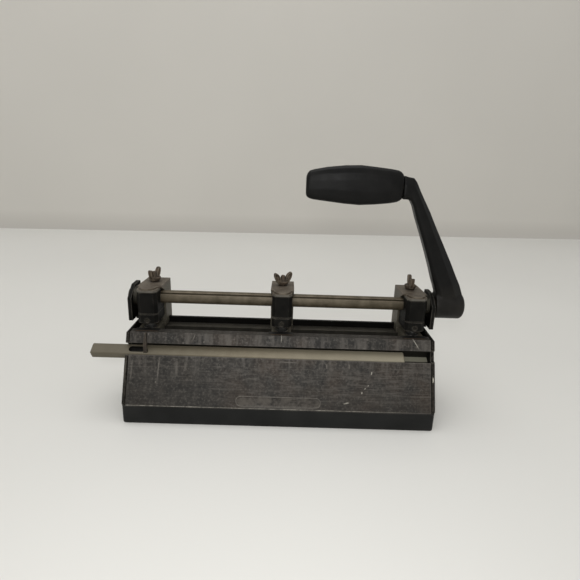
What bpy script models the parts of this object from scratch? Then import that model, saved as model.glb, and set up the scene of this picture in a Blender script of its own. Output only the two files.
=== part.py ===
"""A heavy three-hole paper punch with a hand lever, for the desk.

Metres, +X to the punch's right, -Y to the front, +Z up. The origin is the centre of the chip tray's
underside.
"""

from math import acos, cos, pi, radians, sin, sqrt, tan

import bmesh
import bpy
from mathutils import Matrix, Vector

# Fits
GAP = 0.0003
OVERRUN = 0.002
BITE = 0.0006
ROUND_STEPS = 32
SMALL_STEPS = 16
HUB_BORE_STEPS = 34
CORNER_STEPS = 4
FLANK_STEPS = 4
SHARP_ANGLE = radians(34)

# Base body, seen from its end
BASE_WIDTH = 0.247
FRONT_Y = -0.042
REAR_Y = 0.042
TRAY_HEIGHT = 0.0152
PAPER_Z = 0.0684
APRON_TOP_Y = -0.0190
RIM_REAR_Y = -0.0115
CHANNEL_REAR_Y = 0.0174
REAR_TOP_Y = 0.0204
SIDE_WALL = 0.003
PANEL_WALL = 0.003
CORNER_BREAK = 0.0008

# Channel bed and rail
BED_TOP_Z = 0.0543
BED_WALL = 0.004
CHIP_SLOT_WIDTH = 0.0100
CHIP_SLOT_END_WALL = 0.0085
CHIP_SLOT_LAND = 0.0120
RAIL_TOP_Z = 0.0640
RAIL_FRONT_Y = 0.0070
RAIL_REAR_Y = 0.0160
RAIL_HEAD = 0.004
RAIL_WEB_FRONT_Y = 0.0091
RAIL_WEB_REAR_Y = 0.0133
RAIL_END_GAP = 0.0044

# Chip tray
TRAY_WALL = 0.0022
TRAY_CORNER = 0.0030
TRAY_FOOT_BREAK = 0.0004
TRAY_LIP_INSET = 0.0052
TRAY_LIP_WALL = 0.0015
TRAY_LIP_RISE = 0.0030

# Shaft and its bearings
SHAFT_RADIUS = 0.0054
SHAFT_Y = 0.0045
SHAFT_Z = 0.0910
SHAFT_LEFT_OUT = 0.0033
SHAFT_RIGHT_OUT = 0.0225
KEYWAY_WIDTH = 0.0018
KEYWAY_DEPTH = 0.0014
KEYWAY_ANGLE = radians(46)
BRACKET_WALL = 0.0030
BRACKET_INSET = 0.0019
BRACKET_FRONT_Y = -0.0080
BRACKET_REAR_Y = 0.0178
BRACKET_TOP_Z = 0.1010
BRACKET_LEG_Y = 0.0100
BRACKET_CORNER = 0.0020
BRACKET_CUT_Y = 0.0120
BRACKET_CUT_Z = 0.0085
BRACKET_FOOT_Z = 0.0572
BRACKET_TAB = 0.0023
BRACKET_JOG_TOP_Z = 0.0790
BUSH_RADIUS = 0.0070
BUSH_FLANGE_RADIUS = 0.0084
BUSH_FLANGE = 0.0027
COLLAR_RADIUS = 0.0064
COLLAR_LENGTH = 0.0009
BUSH_LEFT_PROUD = 0.0003
BUSH_RIGHT_PROUD = 0.0011

# Lever
HUB_RADIUS = 0.0110
HUB_LENGTH = 0.0234
HUB_EDGE = 0.0020
ARM_WIDTH_AT_HUB = 0.0227
ARM_DEPTH_AT_HUB = 0.0160
ARM_DEPTH_AT_GRIP = 0.0110
ARM_CORNER_SHARE = 0.36
TANG_LENGTH = 0.0300
TANG_RADIUS = 0.0040
GRIP_Z = 0.1862
GRIP_LENGTH = 0.0747
GRIP_HEIGHT = 0.0306
GRIP_HALF_DEPTH = 0.0065
GRIP_FULLNESS = 0.75
LEVER_SCREW_RADIUS = 0.0020
LEVER_SCREW_IN = 0.0120

# Sector pinion and rack
MODULE = 0.001
TEETH = 15
PRESSURE_ANGLE = radians(25)
BACKLASH = 0.0003
DEDENDUM_SHARE = 1.25
PINION_WIDTH = 0.0046
PINION_BACK_RADIUS = 0.0062
TOOTH_FIRST = -1
TOOTH_LAST = 3

# Punch heads
HEAD_END_ROOM = 0.0041
HEAD_NAMES = ("left", "center", "right")
HEAD_WIDTH = 0.0190
HEAD_REAR_Y = 0.0300
HEAD_TOP_Z = 0.1025
CAP_WALL = 0.0016
CAP_CORNER = 0.0030
LOBE_FRONT_Y = -0.0133
LOBE_HALF = 0.0068
SHOULDER_Y = -0.0055
COLLAR_LAYER = 0.0017
COLUMN_FRONT_Y = 0.0094
WEB_FRONT_Y = -0.0015
WEB_LOW_Z = 0.0945
CAP_FALL = 0.0018
CAP_REAR_ROUND = 0.0030
CAP_EDGE = 0.0005
THROAT = 0.0049
JAW_BOTTOM_Z = 0.0565
JAW_WIDTH = 0.0160
HOOK_DEPTH = 0.0020
REAR_LIP_Z = 0.0640
REAR_LIP_GAP = 0.0006
HOUSING_WIDTH = 0.0160
HOUSING_FRONT_Y = -0.0123
HOUSING_CREST_Y = 0.0015
HOUSING_CHAMFER = 0.0026
GUIDE_HEIGHT = 0.0075
GUIDE_PROUD = 0.0005
PUNCH_RADIUS = 0.00355
PUNCH_TO_PITCH = 0.0024
PUNCH_LIFT = 0.0005
PUNCH_HOLLOW = 0.0012
PUNCH_BORE_CLEARANCE = 0.0003
DIE_RADIUS = 0.0052
DIE_HEIGHT = 0.0080
DIE_CLEARANCE = 0.00015
CHIP_BORE_RADIUS = 0.0042

# Wing screws
WING_SCREW_Y = 0.0140
WING_STEM_RADIUS = 0.0020
WING_BOSS_RADIUS = 0.0052
WING_BOSS_TOP_RADIUS = 0.0042
WING_BOSS_HEIGHT = 0.0034
WING_POST_RADIUS = 0.0026
WING_RISE = 0.0092
WING_SPAN = 0.0160
WING_WALL = 0.0034
WING_REST_DEGREES = (77, 26, 87)

# Paper gauge
GAUGE_WIDTH = 0.0098
GAUGE_THICKNESS = 0.0070
GAUGE_LENGTH = 0.2509
GAUGE_OFFSET_X = -0.0259
GAUGE_TILT = radians(30)
GAUGE_LIP_Z = 0.0522
GAUGE_PROUD = 0.0002
GAUGE_ROOF_Z = 0.0604
NOTCH_DEPTH = 0.0030
GAUGE_SLOT_LENGTH = 0.0134
GAUGE_SLOT_WIDTH = 0.0054
GAUGE_SLOT_DEPTH = 0.0035
GAUGE_SLOT_IN = 0.0088
STOP_IN = 0.0160
STOP_WALL = 0.0028
STOP_REACH = 0.0003
STOP_THICKNESS = 0.0022
STOP_OFF_APRON = 0.0006
STOP_TANG = 0.0030
STOP_FOOT_SHARE = 0.60

# Name panel, left bare
PANEL_LENGTH = 0.0666
PANEL_HEIGHT = 0.0092
PANEL_DEPTH = 0.0006
PANEL_X = -0.0007
PANEL_UP = 0.0012

# Screws
SCREW_RADIUS = 0.0014
SCREW_HEAD_RADIUS = 0.0029
SCREW_HEAD = 0.0017
SCREW_SINK = 0.0001
SCREW_SLOT = 0.0007
SCREW_SLOT_DEPTH = 0.0008
SCREW_LENGTH = 0.0120
APRON_SCREW_Y = -0.0152
APRON_SCREW_Z = 0.0630
REAR_SCREW_Y = 0.0198
REAR_SCREW_Z = 0.0600
BED_SCREW_Y = 0.0040
BRACKET_SCREW_Y = 0.0128
RAIL_SCREW_FROM_HEAD = 0.0130
GUIDE_SCREW_RADIUS = 0.0009
GUIDE_SCREW_HEAD_RADIUS = 0.0016
GUIDE_SCREW_HEAD = 0.0009
SET_SCREW_LENGTH = 0.0024
SET_SCREW_RADIUS = 0.0010
SET_SCREW_UP = 0.0027
REAR_SCREW_OUT = 0.0055
REAR_SCREW_UP = 0.0022
REAR_SCREW_BITE = 0.0055

# Worked out from the sizes above
BODY_BOTTOM_Z = TRAY_HEIGHT + GAP
HALF_WIDTH = BASE_WIDTH / 2
INNER_HALF = HALF_WIDTH - SIDE_WALL
APRON_LEAN = (APRON_TOP_Y - FRONT_Y) / (PAPER_Z - BODY_BOTTOM_Z)
REAR_LEAN = (REAR_Y - REAR_TOP_Y) / (PAPER_Z - BODY_BOTTOM_Z)
PITCH_RADIUS = MODULE * TEETH / 2
TIP_RADIUS = PITCH_RADIUS + MODULE
ROOT_RADIUS = PITCH_RADIUS - DEDENDUM_SHARE * MODULE
RACK_PITCH = pi * MODULE
PUNCH_Y = SHAFT_Y - PITCH_RADIUS - PUNCH_TO_PITCH
THROAT_TOP_Z = PAPER_Z + THROAT
GUIDE_TOP_Z = THROAT_TOP_Z + GUIDE_HEIGHT
HOUSING_BOTTOM_Z = GUIDE_TOP_Z + GAP
COLLAR_TOP_Z = HEAD_TOP_Z - CAP_WALL
HOUSING_TOP_Z = COLLAR_TOP_Z - COLLAR_LAYER - GAP
SLOT_HALF = PINION_WIDTH / 2 + GAP
SLOT_REACH = TIP_RADIUS + GAP
BORE_RADIUS = PUNCH_RADIUS + PUNCH_BORE_CLEARANCE
PUNCH_TOP_Z = HEAD_TOP_Z - CAP_WALL
PUNCH_TIP_Z = THROAT_TOP_Z + PUNCH_LIFT
SHAFT_BORE_RADIUS = SHAFT_RADIUS + GAP
CAP_SLOPE = CAP_FALL / (HEAD_REAR_Y - LOBE_FRONT_Y)
WING_SEAT_Z = HEAD_TOP_Z - CAP_SLOPE * (WING_SCREW_Y + WING_BOSS_RADIUS - LOBE_FRONT_Y)
BRACKET_INNER_X = HALF_WIDTH - BRACKET_INSET
BRACKET_OUTER_X = BRACKET_INNER_X + BRACKET_WALL
RAIL_HALF = BRACKET_INNER_X - RAIL_END_GAP
CHIP_SLOT_END = INNER_HALF - CHIP_SLOT_END_WALL
HEAD_SPACING = BRACKET_INNER_X - HEAD_WIDTH / 2 - HEAD_END_ROOM
RAIL_SCREW_X = HEAD_SPACING - RAIL_SCREW_FROM_HEAD
SHAFT_LEFT_X = -HALF_WIDTH - SHAFT_LEFT_OUT
SHAFT_RIGHT_X = HALF_WIDTH + SHAFT_RIGHT_OUT
BUSH_LEFT_END = -BRACKET_OUTER_X - BUSH_LEFT_PROUD
BUSH_RIGHT_END = BRACKET_OUTER_X + BUSH_RIGHT_PROUD
HUB_LEFT_X = BUSH_RIGHT_END + GAP
HUB_RIGHT_X = HUB_LEFT_X + HUB_LENGTH
LEVER_SCREW_X = HUB_LEFT_X + LEVER_SCREW_IN
GAUGE_SLOT_X = -HALF_WIDTH + GAUGE_SLOT_IN
STOP_X = -HALF_WIDTH + STOP_IN
GAUGE_NORMAL = Vector((-sin(GAUGE_TILT), cos(GAUGE_TILT)))
GAUGE_DOWN = Vector((-cos(GAUGE_TILT), -sin(GAUGE_TILT)))

PAINTED_BLACK = ("painted_black", (0.030, 0.029, 0.027), 0.55, 0.0)
WORN_PAINT = ("worn_paint", (0.085, 0.080, 0.072), 0.62, 0.2)
TRAY_BLACK = ("tray_black", (0.014, 0.014, 0.014), 0.60, 0.0)
HEAD_STEEL = ("head_steel", (0.16, 0.145, 0.125), 0.52, 0.6)
SHAFT_STEEL = ("shaft_steel", (0.20, 0.175, 0.125), 0.42, 0.8)
GAUGE_STEEL = ("gauge_steel", (0.19, 0.175, 0.135), 0.50, 0.6)
RUSTED_STEEL = ("rusted_steel", (0.11, 0.085, 0.065), 0.68, 0.5)
TOOL_STEEL = ("tool_steel", (0.32, 0.31, 0.30), 0.35, 0.9)
LEVER_BLACK = ("lever_black", (0.018, 0.018, 0.018), 0.40, 0.0)
BRONZE = ("bronze", (0.30, 0.20, 0.11), 0.45, 0.8)
SCREW_STEEL = ("screw_steel", (0.10, 0.095, 0.09), 0.50, 0.7)


def clear_scene():
    for obj in list(bpy.data.objects):
        bpy.data.objects.remove(obj)


def material(finish):
    name, colour, roughness, metallic = finish
    found = bpy.data.materials.get(name)
    if found:
        return found
    made = bpy.data.materials.new(name)
    made.use_nodes = True
    shader = made.node_tree.nodes["Principled BSDF"]
    shader.inputs["Base Color"].default_value = (*colour, 1)
    shader.inputs["Roughness"].default_value = roughness
    shader.inputs["Metallic"].default_value = metallic
    return made


def link_mesh(name, mesh):
    obj = bpy.data.objects.new(name, mesh)
    bpy.context.collection.objects.link(obj)
    return obj


def mesh_object(bm, name="blank"):
    bmesh.ops.recalc_face_normals(bm, faces=bm.faces)
    mesh = bpy.data.meshes.new(name)
    bm.to_mesh(mesh)
    bm.free()
    return link_mesh(name, mesh)


def along(axis, first, second, height):
    """A point from its place across an axis and its height along it."""
    if axis == "X":
        return (height, first, second)
    if axis == "Y":
        return (first, height, second)
    return (first, second, height)


def prism(outline, low, high, axis="X"):
    """A closed outline swept along an axis: (y, z) points for X, (x, z) for Y, (x, y) for Z."""
    bm = bmesh.new()
    ends = [[bm.verts.new(along(axis, a, b, h)) for a, b in outline] for h in (low, high)]
    for ring in ends:
        bm.faces.new(ring)
    count = len(outline)
    for i in range(count):
        j = (i + 1) % count
        bm.faces.new((ends[0][i], ends[0][j], ends[1][j], ends[1][i]))
    return mesh_object(bm)


def block(xs, ys, zs):
    """A box from its low and high place on each axis."""
    outline = [(ys[0], zs[0]), (ys[1], zs[0]), (ys[1], zs[1]), (ys[0], zs[1])]
    return prism(outline, *xs)


def turned(profile, axis, centre, steps=ROUND_STEPS, ring=False):
    """A turned solid from (radius, height) points. A ring's profile is a closed loop off the axis."""
    bm = bmesh.new()
    rows = []
    for radius, height in profile:
        if radius == 0:
            rows.append([bm.verts.new(along(axis, *centre, height))])
            continue
        row = []
        for i in range(steps):
            turn = 2 * pi * i / steps
            first = centre[0] + radius * cos(turn)
            second = centre[1] + radius * sin(turn)
            row.append(bm.verts.new(along(axis, first, second, height)))
        rows.append(row)
    pairs = list(zip(rows, rows[1:]))
    if ring:
        pairs.append((rows[-1], rows[0]))
    for low, high in pairs:
        for i in range(steps):
            j = (i + 1) % steps
            corners = (low[i % len(low)], low[j % len(low)], high[j % len(high)], high[i % len(high)])
            bm.faces.new(list(dict.fromkeys(corners)))
    return mesh_object(bm)


def rod(radius, low, high, axis, centre, steps=ROUND_STEPS):
    return turned([(0, low), (radius, low), (radius, high), (0, high)], axis, centre, steps)


def loft(sections):
    """A closed skin over a row of matching outlines."""
    bm = bmesh.new()
    rows = [[bm.verts.new(point) for point in section] for section in sections]
    for low, high in zip(rows, rows[1:]):
        for i in range(len(low)):
            j = (i + 1) % len(low)
            bm.faces.new((low[i], low[j], high[j], high[i]))
    bm.faces.new(rows[0])
    bm.faces.new(rows[-1])
    return mesh_object(bm)


def filleted(corners, radii):
    """An outline with an arc at each corner that has a radius."""
    outline = []
    for i, corner in enumerate(corners):
        radius = radii[i]
        here = Vector(corner)
        if not radius:
            outline.append(tuple(here))
            continue
        back = (Vector(corners[i - 1]) - here).normalized()
        on = (Vector(corners[(i + 1) % len(corners)]) - here).normalized()
        half = back.angle(on) / 2
        centre = here + (back + on).normalized() * (radius / sin(half))
        start = here + back * (radius / tan(half)) - centre
        sweep = pi - 2 * half
        if start.x * on.y - start.y * on.x < 0:
            sweep = -sweep
        for k in range(CORNER_STEPS + 1):
            outline.append(tuple(centre + Matrix.Rotation(sweep * k / CORNER_STEPS, 2) @ start))
    return outline


def boolean(body, tool, operation):
    tool.hide_render = True
    tool.display_type = "WIRE"
    step = body.modifiers.new(operation.lower(), "BOOLEAN")
    step.object = tool
    step.operation = operation
    step.solver = "EXACT"


def carve(body, *tools):
    for tool in tools:
        boolean(body, tool, "DIFFERENCE")


def fuse(body, *tools):
    for tool in tools:
        boolean(body, tool, "UNION")


def softened(obj, width, segments=1):
    edge = obj.modifiers.new("edge", "BEVEL")
    edge.width = width
    edge.segments = segments
    edge.limit_method = "ANGLE"
    edge.angle_limit = SHARP_ANGLE
    return obj


def finished(body, origin=(0, 0, 0)):
    """The solid mesh that a body's modifiers make, measured from origin. Its tools are removed."""
    bpy.context.view_layer.update()
    graph = bpy.context.evaluated_depsgraph_get()
    mesh = bpy.data.meshes.new_from_object(body.evaluated_get(graph))
    mesh.transform(Matrix.Translation(-Vector(origin)))
    mesh.shade_smooth()
    mesh.set_sharp_from_angle(angle=SHARP_ANGLE)
    tools = [body]
    for obj in tools:
        tools += [step.object for step in obj.modifiers if step.type == "BOOLEAN"]
    for obj in dict.fromkeys(tools):
        bpy.data.objects.remove(obj)
    return mesh


def place(name, mesh, finish, location=(0, 0, 0), turn=0.0):
    """A named piece that shows a finished mesh, with its origin at location."""
    obj = link_mesh(name, mesh)
    if not mesh.materials:
        mesh.materials.append(material(finish))
    obj.location = location
    obj.rotation_euler.z = turn
    return obj


def apron_y(z):
    """The apron's outer face, at a height."""
    return FRONT_Y + (z - BODY_BOTTOM_Z) * APRON_LEAN


def rear_y(z):
    """The rear panel's outer face, at a height."""
    return REAR_Y - (z - BODY_BOTTOM_Z) * REAR_LEAN


def gauge_corner(down, out):
    """A point of the tilted gauge, down its wide face and out from it, from its upper back edge."""
    lip = Vector((apron_y(GAUGE_LIP_Z), GAUGE_LIP_Z + GAUGE_PROUD))
    back = lip - GAUGE_DOWN * GAUGE_WIDTH
    return tuple(back + GAUGE_DOWN * down + GAUGE_NORMAL * out)


def gauge_groove(low, high):
    """The tilted groove that the gauge slides in, its roof leaning out over the bar."""
    wide = GAUGE_WIDTH + GAP
    roof = (apron_y(GAUGE_ROOF_Z), GAUGE_ROOF_Z)
    outline = [
        gauge_corner(-GAP, GAP),
        gauge_corner(-GAP, -GAUGE_THICKNESS - GAP),
        gauge_corner(wide, -GAUGE_THICKNESS - GAP),
        gauge_corner(wide, OVERRUN),
        (roof[0] - OVERRUN, roof[1]),
        roof,
    ]
    return prism(outline, low, high)


def end_notch(low, high):
    """The shallow notch that carries the groove's line across the right side frame."""
    outline = []
    for z, depths in ((GAUGE_LIP_Z, (-OVERRUN, NOTCH_DEPTH)), (GAUGE_ROOF_Z, (NOTCH_DEPTH, -OVERRUN))):
        outline += [(apron_y(z) + depth, z) for depth in depths]
    return prism(outline, low, high)


def screw(length, radius, head_radius, head, slot, depth, axis, centre, top, way):
    """A slotted cheese-head screw. top is its head's outer face, and way the direction it is driven."""
    ends = [(0, top), (head_radius, top), (head_radius, top + way * head)]
    ends += [(radius, top + way * head), (radius, top + way * length), (0, top + way * length)]
    body = turned(ends, axis, centre, SMALL_STEPS)
    wide = head_radius + OVERRUN
    cut_low, cut_high = sorted((top - way * OVERRUN, top + way * depth))
    spans = [
        (centre[0] - slot / 2, centre[0] + slot / 2),
        (centre[1] - wide, centre[1] + wide),
    ]
    corners = [(spans[0][a], spans[1][b]) for a, b in ((0, 0), (1, 0), (1, 1), (0, 1))]
    carve(body, prism(corners, cut_low, cut_high, axis))
    return body


def screw_seat(length, radius, head_radius, head, axis, centre, top, way):
    """The stepped hole for a screw whose head lies below the face at top."""
    ends = [(0, top - way * OVERRUN), (head_radius + GAP, top - way * OVERRUN)]
    ends += [(head_radius + GAP, top + way * (head + GAP)), (radius + GAP, top + way * (head + GAP))]
    ends += [(radius + GAP, top + way * (length + GAP)), (0, top + way * (length + GAP))]
    return turned(ends, axis, centre, SMALL_STEPS)


def side_screw_places():
    """The screws that come in through a side frame: name and place in the end view."""
    return (
        ("apron_screw", (APRON_SCREW_Y, APRON_SCREW_Z)),
        ("rear_screw", (REAR_SCREW_Y, REAR_SCREW_Z)),
        ("bed_screw", (BED_SCREW_Y, BED_TOP_Z - BED_WALL / 2)),
        ("bracket_screw", (BRACKET_SCREW_Y, (RAIL_TOP_Z + BRACKET_FOOT_Z) / 2)),
    )


def side_seat(side, name):
    """The cutter for a screw that comes in through a side frame."""
    centre = dict(side_screw_places())[name]
    top = side * (HALF_WIDTH - SCREW_SINK)
    return screw_seat(SCREW_LENGTH, SCREW_RADIUS, SCREW_HEAD_RADIUS, SCREW_HEAD, "X", centre, top, -side)


def make_side_frames():
    outline = [
        (FRONT_Y, BODY_BOTTOM_Z),
        (APRON_TOP_Y, PAPER_Z),
        (REAR_TOP_Y, PAPER_Z),
        (REAR_Y, BODY_BOTTOM_Z),
    ]
    for end, side in (("left", -1), ("right", 1)):
        body = softened(prism(outline, *sorted((side * INNER_HALF, side * HALF_WIDTH))), CORNER_BREAK)
        ends = sorted((side * (INNER_HALF - OVERRUN), side * (HALF_WIDTH + OVERRUN)))
        groove = gauge_groove(*ends) if side < 0 else end_notch(*ends)
        carve(body, groove, *[side_seat(side, name) for name, _ in side_screw_places()])
        place(f"side_frame_{end}", finished(body), PAINTED_BLACK)


def make_front_apron():
    wall = PANEL_WALL * sqrt(1 + APRON_LEAN**2)
    floor = gauge_corner(GAUGE_WIDTH + GAP, -GAUGE_THICKNESS - GAP)
    under = floor[1] - PANEL_WALL
    below = under - PANEL_WALL
    bed_bottom = BED_TOP_Z - BED_WALL
    outline = [
        (FRONT_Y, BODY_BOTTOM_Z),
        (APRON_TOP_Y, PAPER_Z),
        (RIM_REAR_Y, PAPER_Z),
        (RIM_REAR_Y, bed_bottom),
        (RIM_REAR_Y - PANEL_WALL, bed_bottom - PANEL_WALL),
        (floor[0] + PANEL_WALL, under),
        (apron_y(below) + wall, below),
        (FRONT_Y + wall, BODY_BOTTOM_Z),
    ]
    reach = INNER_HALF - GAP
    body = prism(outline, -reach, reach)
    carve(body, gauge_groove(-HALF_WIDTH, HALF_WIDTH), name_panel())
    carve(body, side_seat(-1, "apron_screw"), side_seat(1, "apron_screw"))
    place("front_apron", finished(body), WORN_PAINT)


def name_panel():
    """A cutter for the shallow stadium panel near the foot of the apron."""
    half = PANEL_LENGTH / 2 - PANEL_HEIGHT / 2
    radius = PANEL_HEIGHT / 2
    steps = SMALL_STEPS // 2
    turns = [-pi / 2 + pi * k / steps for k in range(steps + 1)]
    outline = [(PANEL_X + half + radius * cos(t), radius * sin(t)) for t in turns]
    outline += [(PANEL_X - half - radius * cos(t), -radius * sin(t)) for t in turns]
    lean = Vector((0, APRON_LEAN, 1)).normalized()
    out = Vector((0, -1, APRON_LEAN)).normalized()
    foot = Vector((0, FRONT_Y, BODY_BOTTOM_Z)) + lean * (PANEL_UP + radius)
    sections = []
    for depth in (-PANEL_DEPTH, OVERRUN):
        sections.append([foot + Vector((x, 0, 0)) + lean * up + out * depth for x, up in outline])
    return loft(sections)


def make_rear_panel():
    bed_bottom = BED_TOP_Z - BED_WALL
    outline = [
        (CHANNEL_REAR_Y, PAPER_Z),
        (REAR_TOP_Y, PAPER_Z),
        (REAR_Y, BODY_BOTTOM_Z),
        (REAR_Y - PANEL_WALL, BODY_BOTTOM_Z),
        (rear_y(bed_bottom) - PANEL_WALL, bed_bottom - PANEL_WALL),
        (CHANNEL_REAR_Y, bed_bottom),
    ]
    reach = INNER_HALF - GAP
    body = prism(outline, -reach, reach)
    carve(body, side_seat(-1, "rear_screw"), side_seat(1, "rear_screw"))
    place("rear_panel", finished(body), PAINTED_BLACK)


def make_bed_plate():
    """The channel's floor, with a chip slot under each head's travel and two rail screws from below."""
    reach = INNER_HALF - GAP
    zs = (BED_TOP_Z - BED_WALL, BED_TOP_Z)
    body = block((-reach, reach), (RIM_REAR_Y + GAP, CHANNEL_REAR_Y - GAP), zs)
    slot_ys = (PUNCH_Y - CHIP_SLOT_WIDTH / 2, PUNCH_Y + CHIP_SLOT_WIDTH / 2)
    slot_zs = (zs[0] - OVERRUN, zs[1] + OVERRUN)
    inner = HEAD_SPACING / 2 - CHIP_SLOT_LAND / 2
    outer = HEAD_SPACING / 2 + CHIP_SLOT_LAND / 2
    for xs in ((-CHIP_SLOT_END, -outer), (-inner, inner), (outer, CHIP_SLOT_END)):
        carve(body, block(xs, slot_ys, slot_zs))
    for side in (-1, 1):
        carve(body, side_seat(side, "bed_screw"), rail_seat(side))
    place("bed_plate", finished(body), PAINTED_BLACK)


def rail_screw_shape():
    """Sizes and centre line height of the two screws that hold the rail down."""
    top = BED_TOP_Z - BED_WALL + SCREW_SINK
    return (SCREW_LENGTH, SCREW_RADIUS, SCREW_HEAD_RADIUS, SCREW_HEAD), top


def rail_screw_centre(side):
    return (side * RAIL_SCREW_X, (RAIL_WEB_FRONT_Y + RAIL_WEB_REAR_Y) / 2)


def rail_seat(side):
    shape, top = rail_screw_shape()
    return screw_seat(*shape, "Z", rail_screw_centre(side), top, 1)


def make_rail():
    outline = [
        (RAIL_FRONT_Y, RAIL_TOP_Z),
        (RAIL_FRONT_Y, RAIL_TOP_Z - RAIL_HEAD),
        (RAIL_WEB_FRONT_Y, RAIL_TOP_Z - RAIL_HEAD),
        (RAIL_WEB_FRONT_Y, BED_TOP_Z + GAP),
        (RAIL_WEB_REAR_Y, BED_TOP_Z + GAP),
        (RAIL_WEB_REAR_Y, RAIL_TOP_Z - RAIL_HEAD),
        (RAIL_REAR_Y, RAIL_TOP_Z - RAIL_HEAD),
        (RAIL_REAR_Y, RAIL_TOP_Z),
    ]
    body = prism(outline, -RAIL_HALF, RAIL_HALF)
    carve(body, rail_seat(-1), rail_seat(1))
    place("rail", finished(body), HEAD_STEEL)
    shape, top = rail_screw_shape()
    for name, side in (("left", -1), ("right", 1)):
        slot = (SCREW_SLOT, SCREW_SLOT_DEPTH)
        body = screw(*shape, *slot, "Z", rail_screw_centre(side), top, 1)
        place(f"rail_screw_{name}", finished(body), SCREW_STEEL)


def make_side_screws():
    shape = (SCREW_LENGTH, SCREW_RADIUS, SCREW_HEAD_RADIUS, SCREW_HEAD, SCREW_SLOT, SCREW_SLOT_DEPTH)
    for end, side in (("left", -1), ("right", 1)):
        top = side * (HALF_WIDTH - SCREW_SINK)
        for name, centre in side_screw_places():
            sizes = list(shape)
            if name == "bracket_screw":
                sizes[0] = SIDE_WALL + BRACKET_TAB
            body = screw(*sizes, "X", centre, top, -side)
            place(f"{name}_{end}", finished(body), SCREW_STEEL)


def tray_outline(inset, corner):
    """The tray's outline from above, drawn in by an inset."""
    x = HALF_WIDTH - inset
    front = FRONT_Y + inset
    rear = REAR_Y - inset
    corners = [(-x, front), (x, front), (x, rear), (-x, rear)]
    return filleted(corners, (corner,) * len(corners))


def make_chip_tray():
    """A pan under the whole base, with a lip inside the body's lower edge."""
    levels = (
        (0, TRAY_FOOT_BREAK),
        (TRAY_FOOT_BREAK, 0),
        (TRAY_HEIGHT, 0),
    )
    sections = []
    for height, inset in levels:
        outline = tray_outline(inset, TRAY_CORNER - inset)
        sections.append([(x, y, height) for x, y in outline])
    body = loft(sections)
    lip_outline = tray_outline(TRAY_LIP_INSET, TRAY_LIP_WALL)
    fuse(body, prism(lip_outline, TRAY_WALL, TRAY_HEIGHT + TRAY_LIP_RISE, "Z"))
    inside = tray_outline(TRAY_LIP_INSET + TRAY_LIP_WALL, TRAY_LIP_WALL)
    carve(body, prism(inside, TRAY_WALL, TRAY_HEIGHT + TRAY_LIP_RISE + OVERRUN, "Z"))
    place("chip_tray", finished(body), TRAY_BLACK)


def make_brackets():
    """C-shaped bearing plates that hang over the paper slot and screw to the side frames inside."""
    throat = THROAT_TOP_Z
    foot = PAPER_Z + GAP
    corners = [
        (BRACKET_FRONT_Y, throat),
        (BRACKET_LEG_Y, throat),
        (BRACKET_LEG_Y, foot),
        (BRACKET_REAR_Y, foot),
        (BRACKET_REAR_Y, BRACKET_TOP_Z),
        (BRACKET_FRONT_Y + BRACKET_CUT_Y, BRACKET_TOP_Z),
        (BRACKET_FRONT_Y, BRACKET_TOP_Z - BRACKET_CUT_Z),
    ]
    radii = (CORNER_BREAK, 0, 0, 0, BRACKET_CORNER, BRACKET_CORNER, BRACKET_CORNER)
    outline = filleted(corners, radii)
    tab_outer = INNER_HALF - GAP
    tab_inner = tab_outer - BRACKET_TAB
    tab_rear = CHANNEL_REAR_Y - GAP
    for name, side in (("left", -1), ("right", 1)):
        body = prism(outline, *sorted((side * BRACKET_INNER_X, side * BRACKET_OUTER_X)))
        tab = block(
            sorted((side * tab_inner, side * tab_outer)),
            (BRACKET_LEG_Y, tab_rear),
            (BRACKET_FOOT_Z, BRACKET_JOG_TOP_Z),
        )
        jog = block(
            sorted((side * (tab_inner + BITE), side * (BRACKET_INNER_X + BITE))),
            (BRACKET_LEG_Y + BITE, tab_rear - BITE),
            (foot + BITE, BRACKET_JOG_TOP_Z - BITE),
        )
        fuse(body, tab, jog)
        bore_ends = (BRACKET_INNER_X - OVERRUN, BRACKET_OUTER_X + OVERRUN)
        bore = rod(BUSH_RADIUS + GAP, *sorted(side * x for x in bore_ends), "X", (SHAFT_Y, SHAFT_Z))
        carve(body, side_seat(side, "bracket_screw"), bore)
        place(f"bearing_bracket_{name}", finished(body), PAINTED_BLACK)


def make_bushes():
    """Flanged bushes pressed in from inside, each standing a little out of its bracket."""
    flange_in = BRACKET_INNER_X - GAP - BUSH_FLANGE
    for name, side, end in (("left", -1, BUSH_LEFT_END), ("right", 1, BUSH_RIGHT_END)):
        profile = [
            (SHAFT_BORE_RADIUS, side * flange_in),
            (BUSH_FLANGE_RADIUS, side * flange_in),
            (BUSH_FLANGE_RADIUS, side * (BRACKET_INNER_X - GAP)),
            (BUSH_RADIUS, side * (BRACKET_INNER_X - GAP)),
            (BUSH_RADIUS, end),
            (SHAFT_BORE_RADIUS, end),
        ]
        body = turned(profile, "X", (SHAFT_Y, SHAFT_Z), ROUND_STEPS, ring=True)
        place(f"shaft_bush_{name}", finished(body), BRONZE)


def key_block(low, high, inner, outer, width):
    """A bar along the shaft at the keyway's angle, between two radii."""
    out = Vector((0, -cos(KEYWAY_ANGLE), sin(KEYWAY_ANGLE)))
    across = Vector((0, sin(KEYWAY_ANGLE), cos(KEYWAY_ANGLE)))
    centre = Vector((0, SHAFT_Y, SHAFT_Z))
    sections = []
    for x in (low, high):
        row = []
        for radius, side in ((inner, -1), (outer, -1), (outer, 1), (inner, 1)):
            row.append(centre + Vector((x, 0, 0)) + out * radius + across * (side * width / 2))
        sections.append(row)
    return loft(sections)


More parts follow.
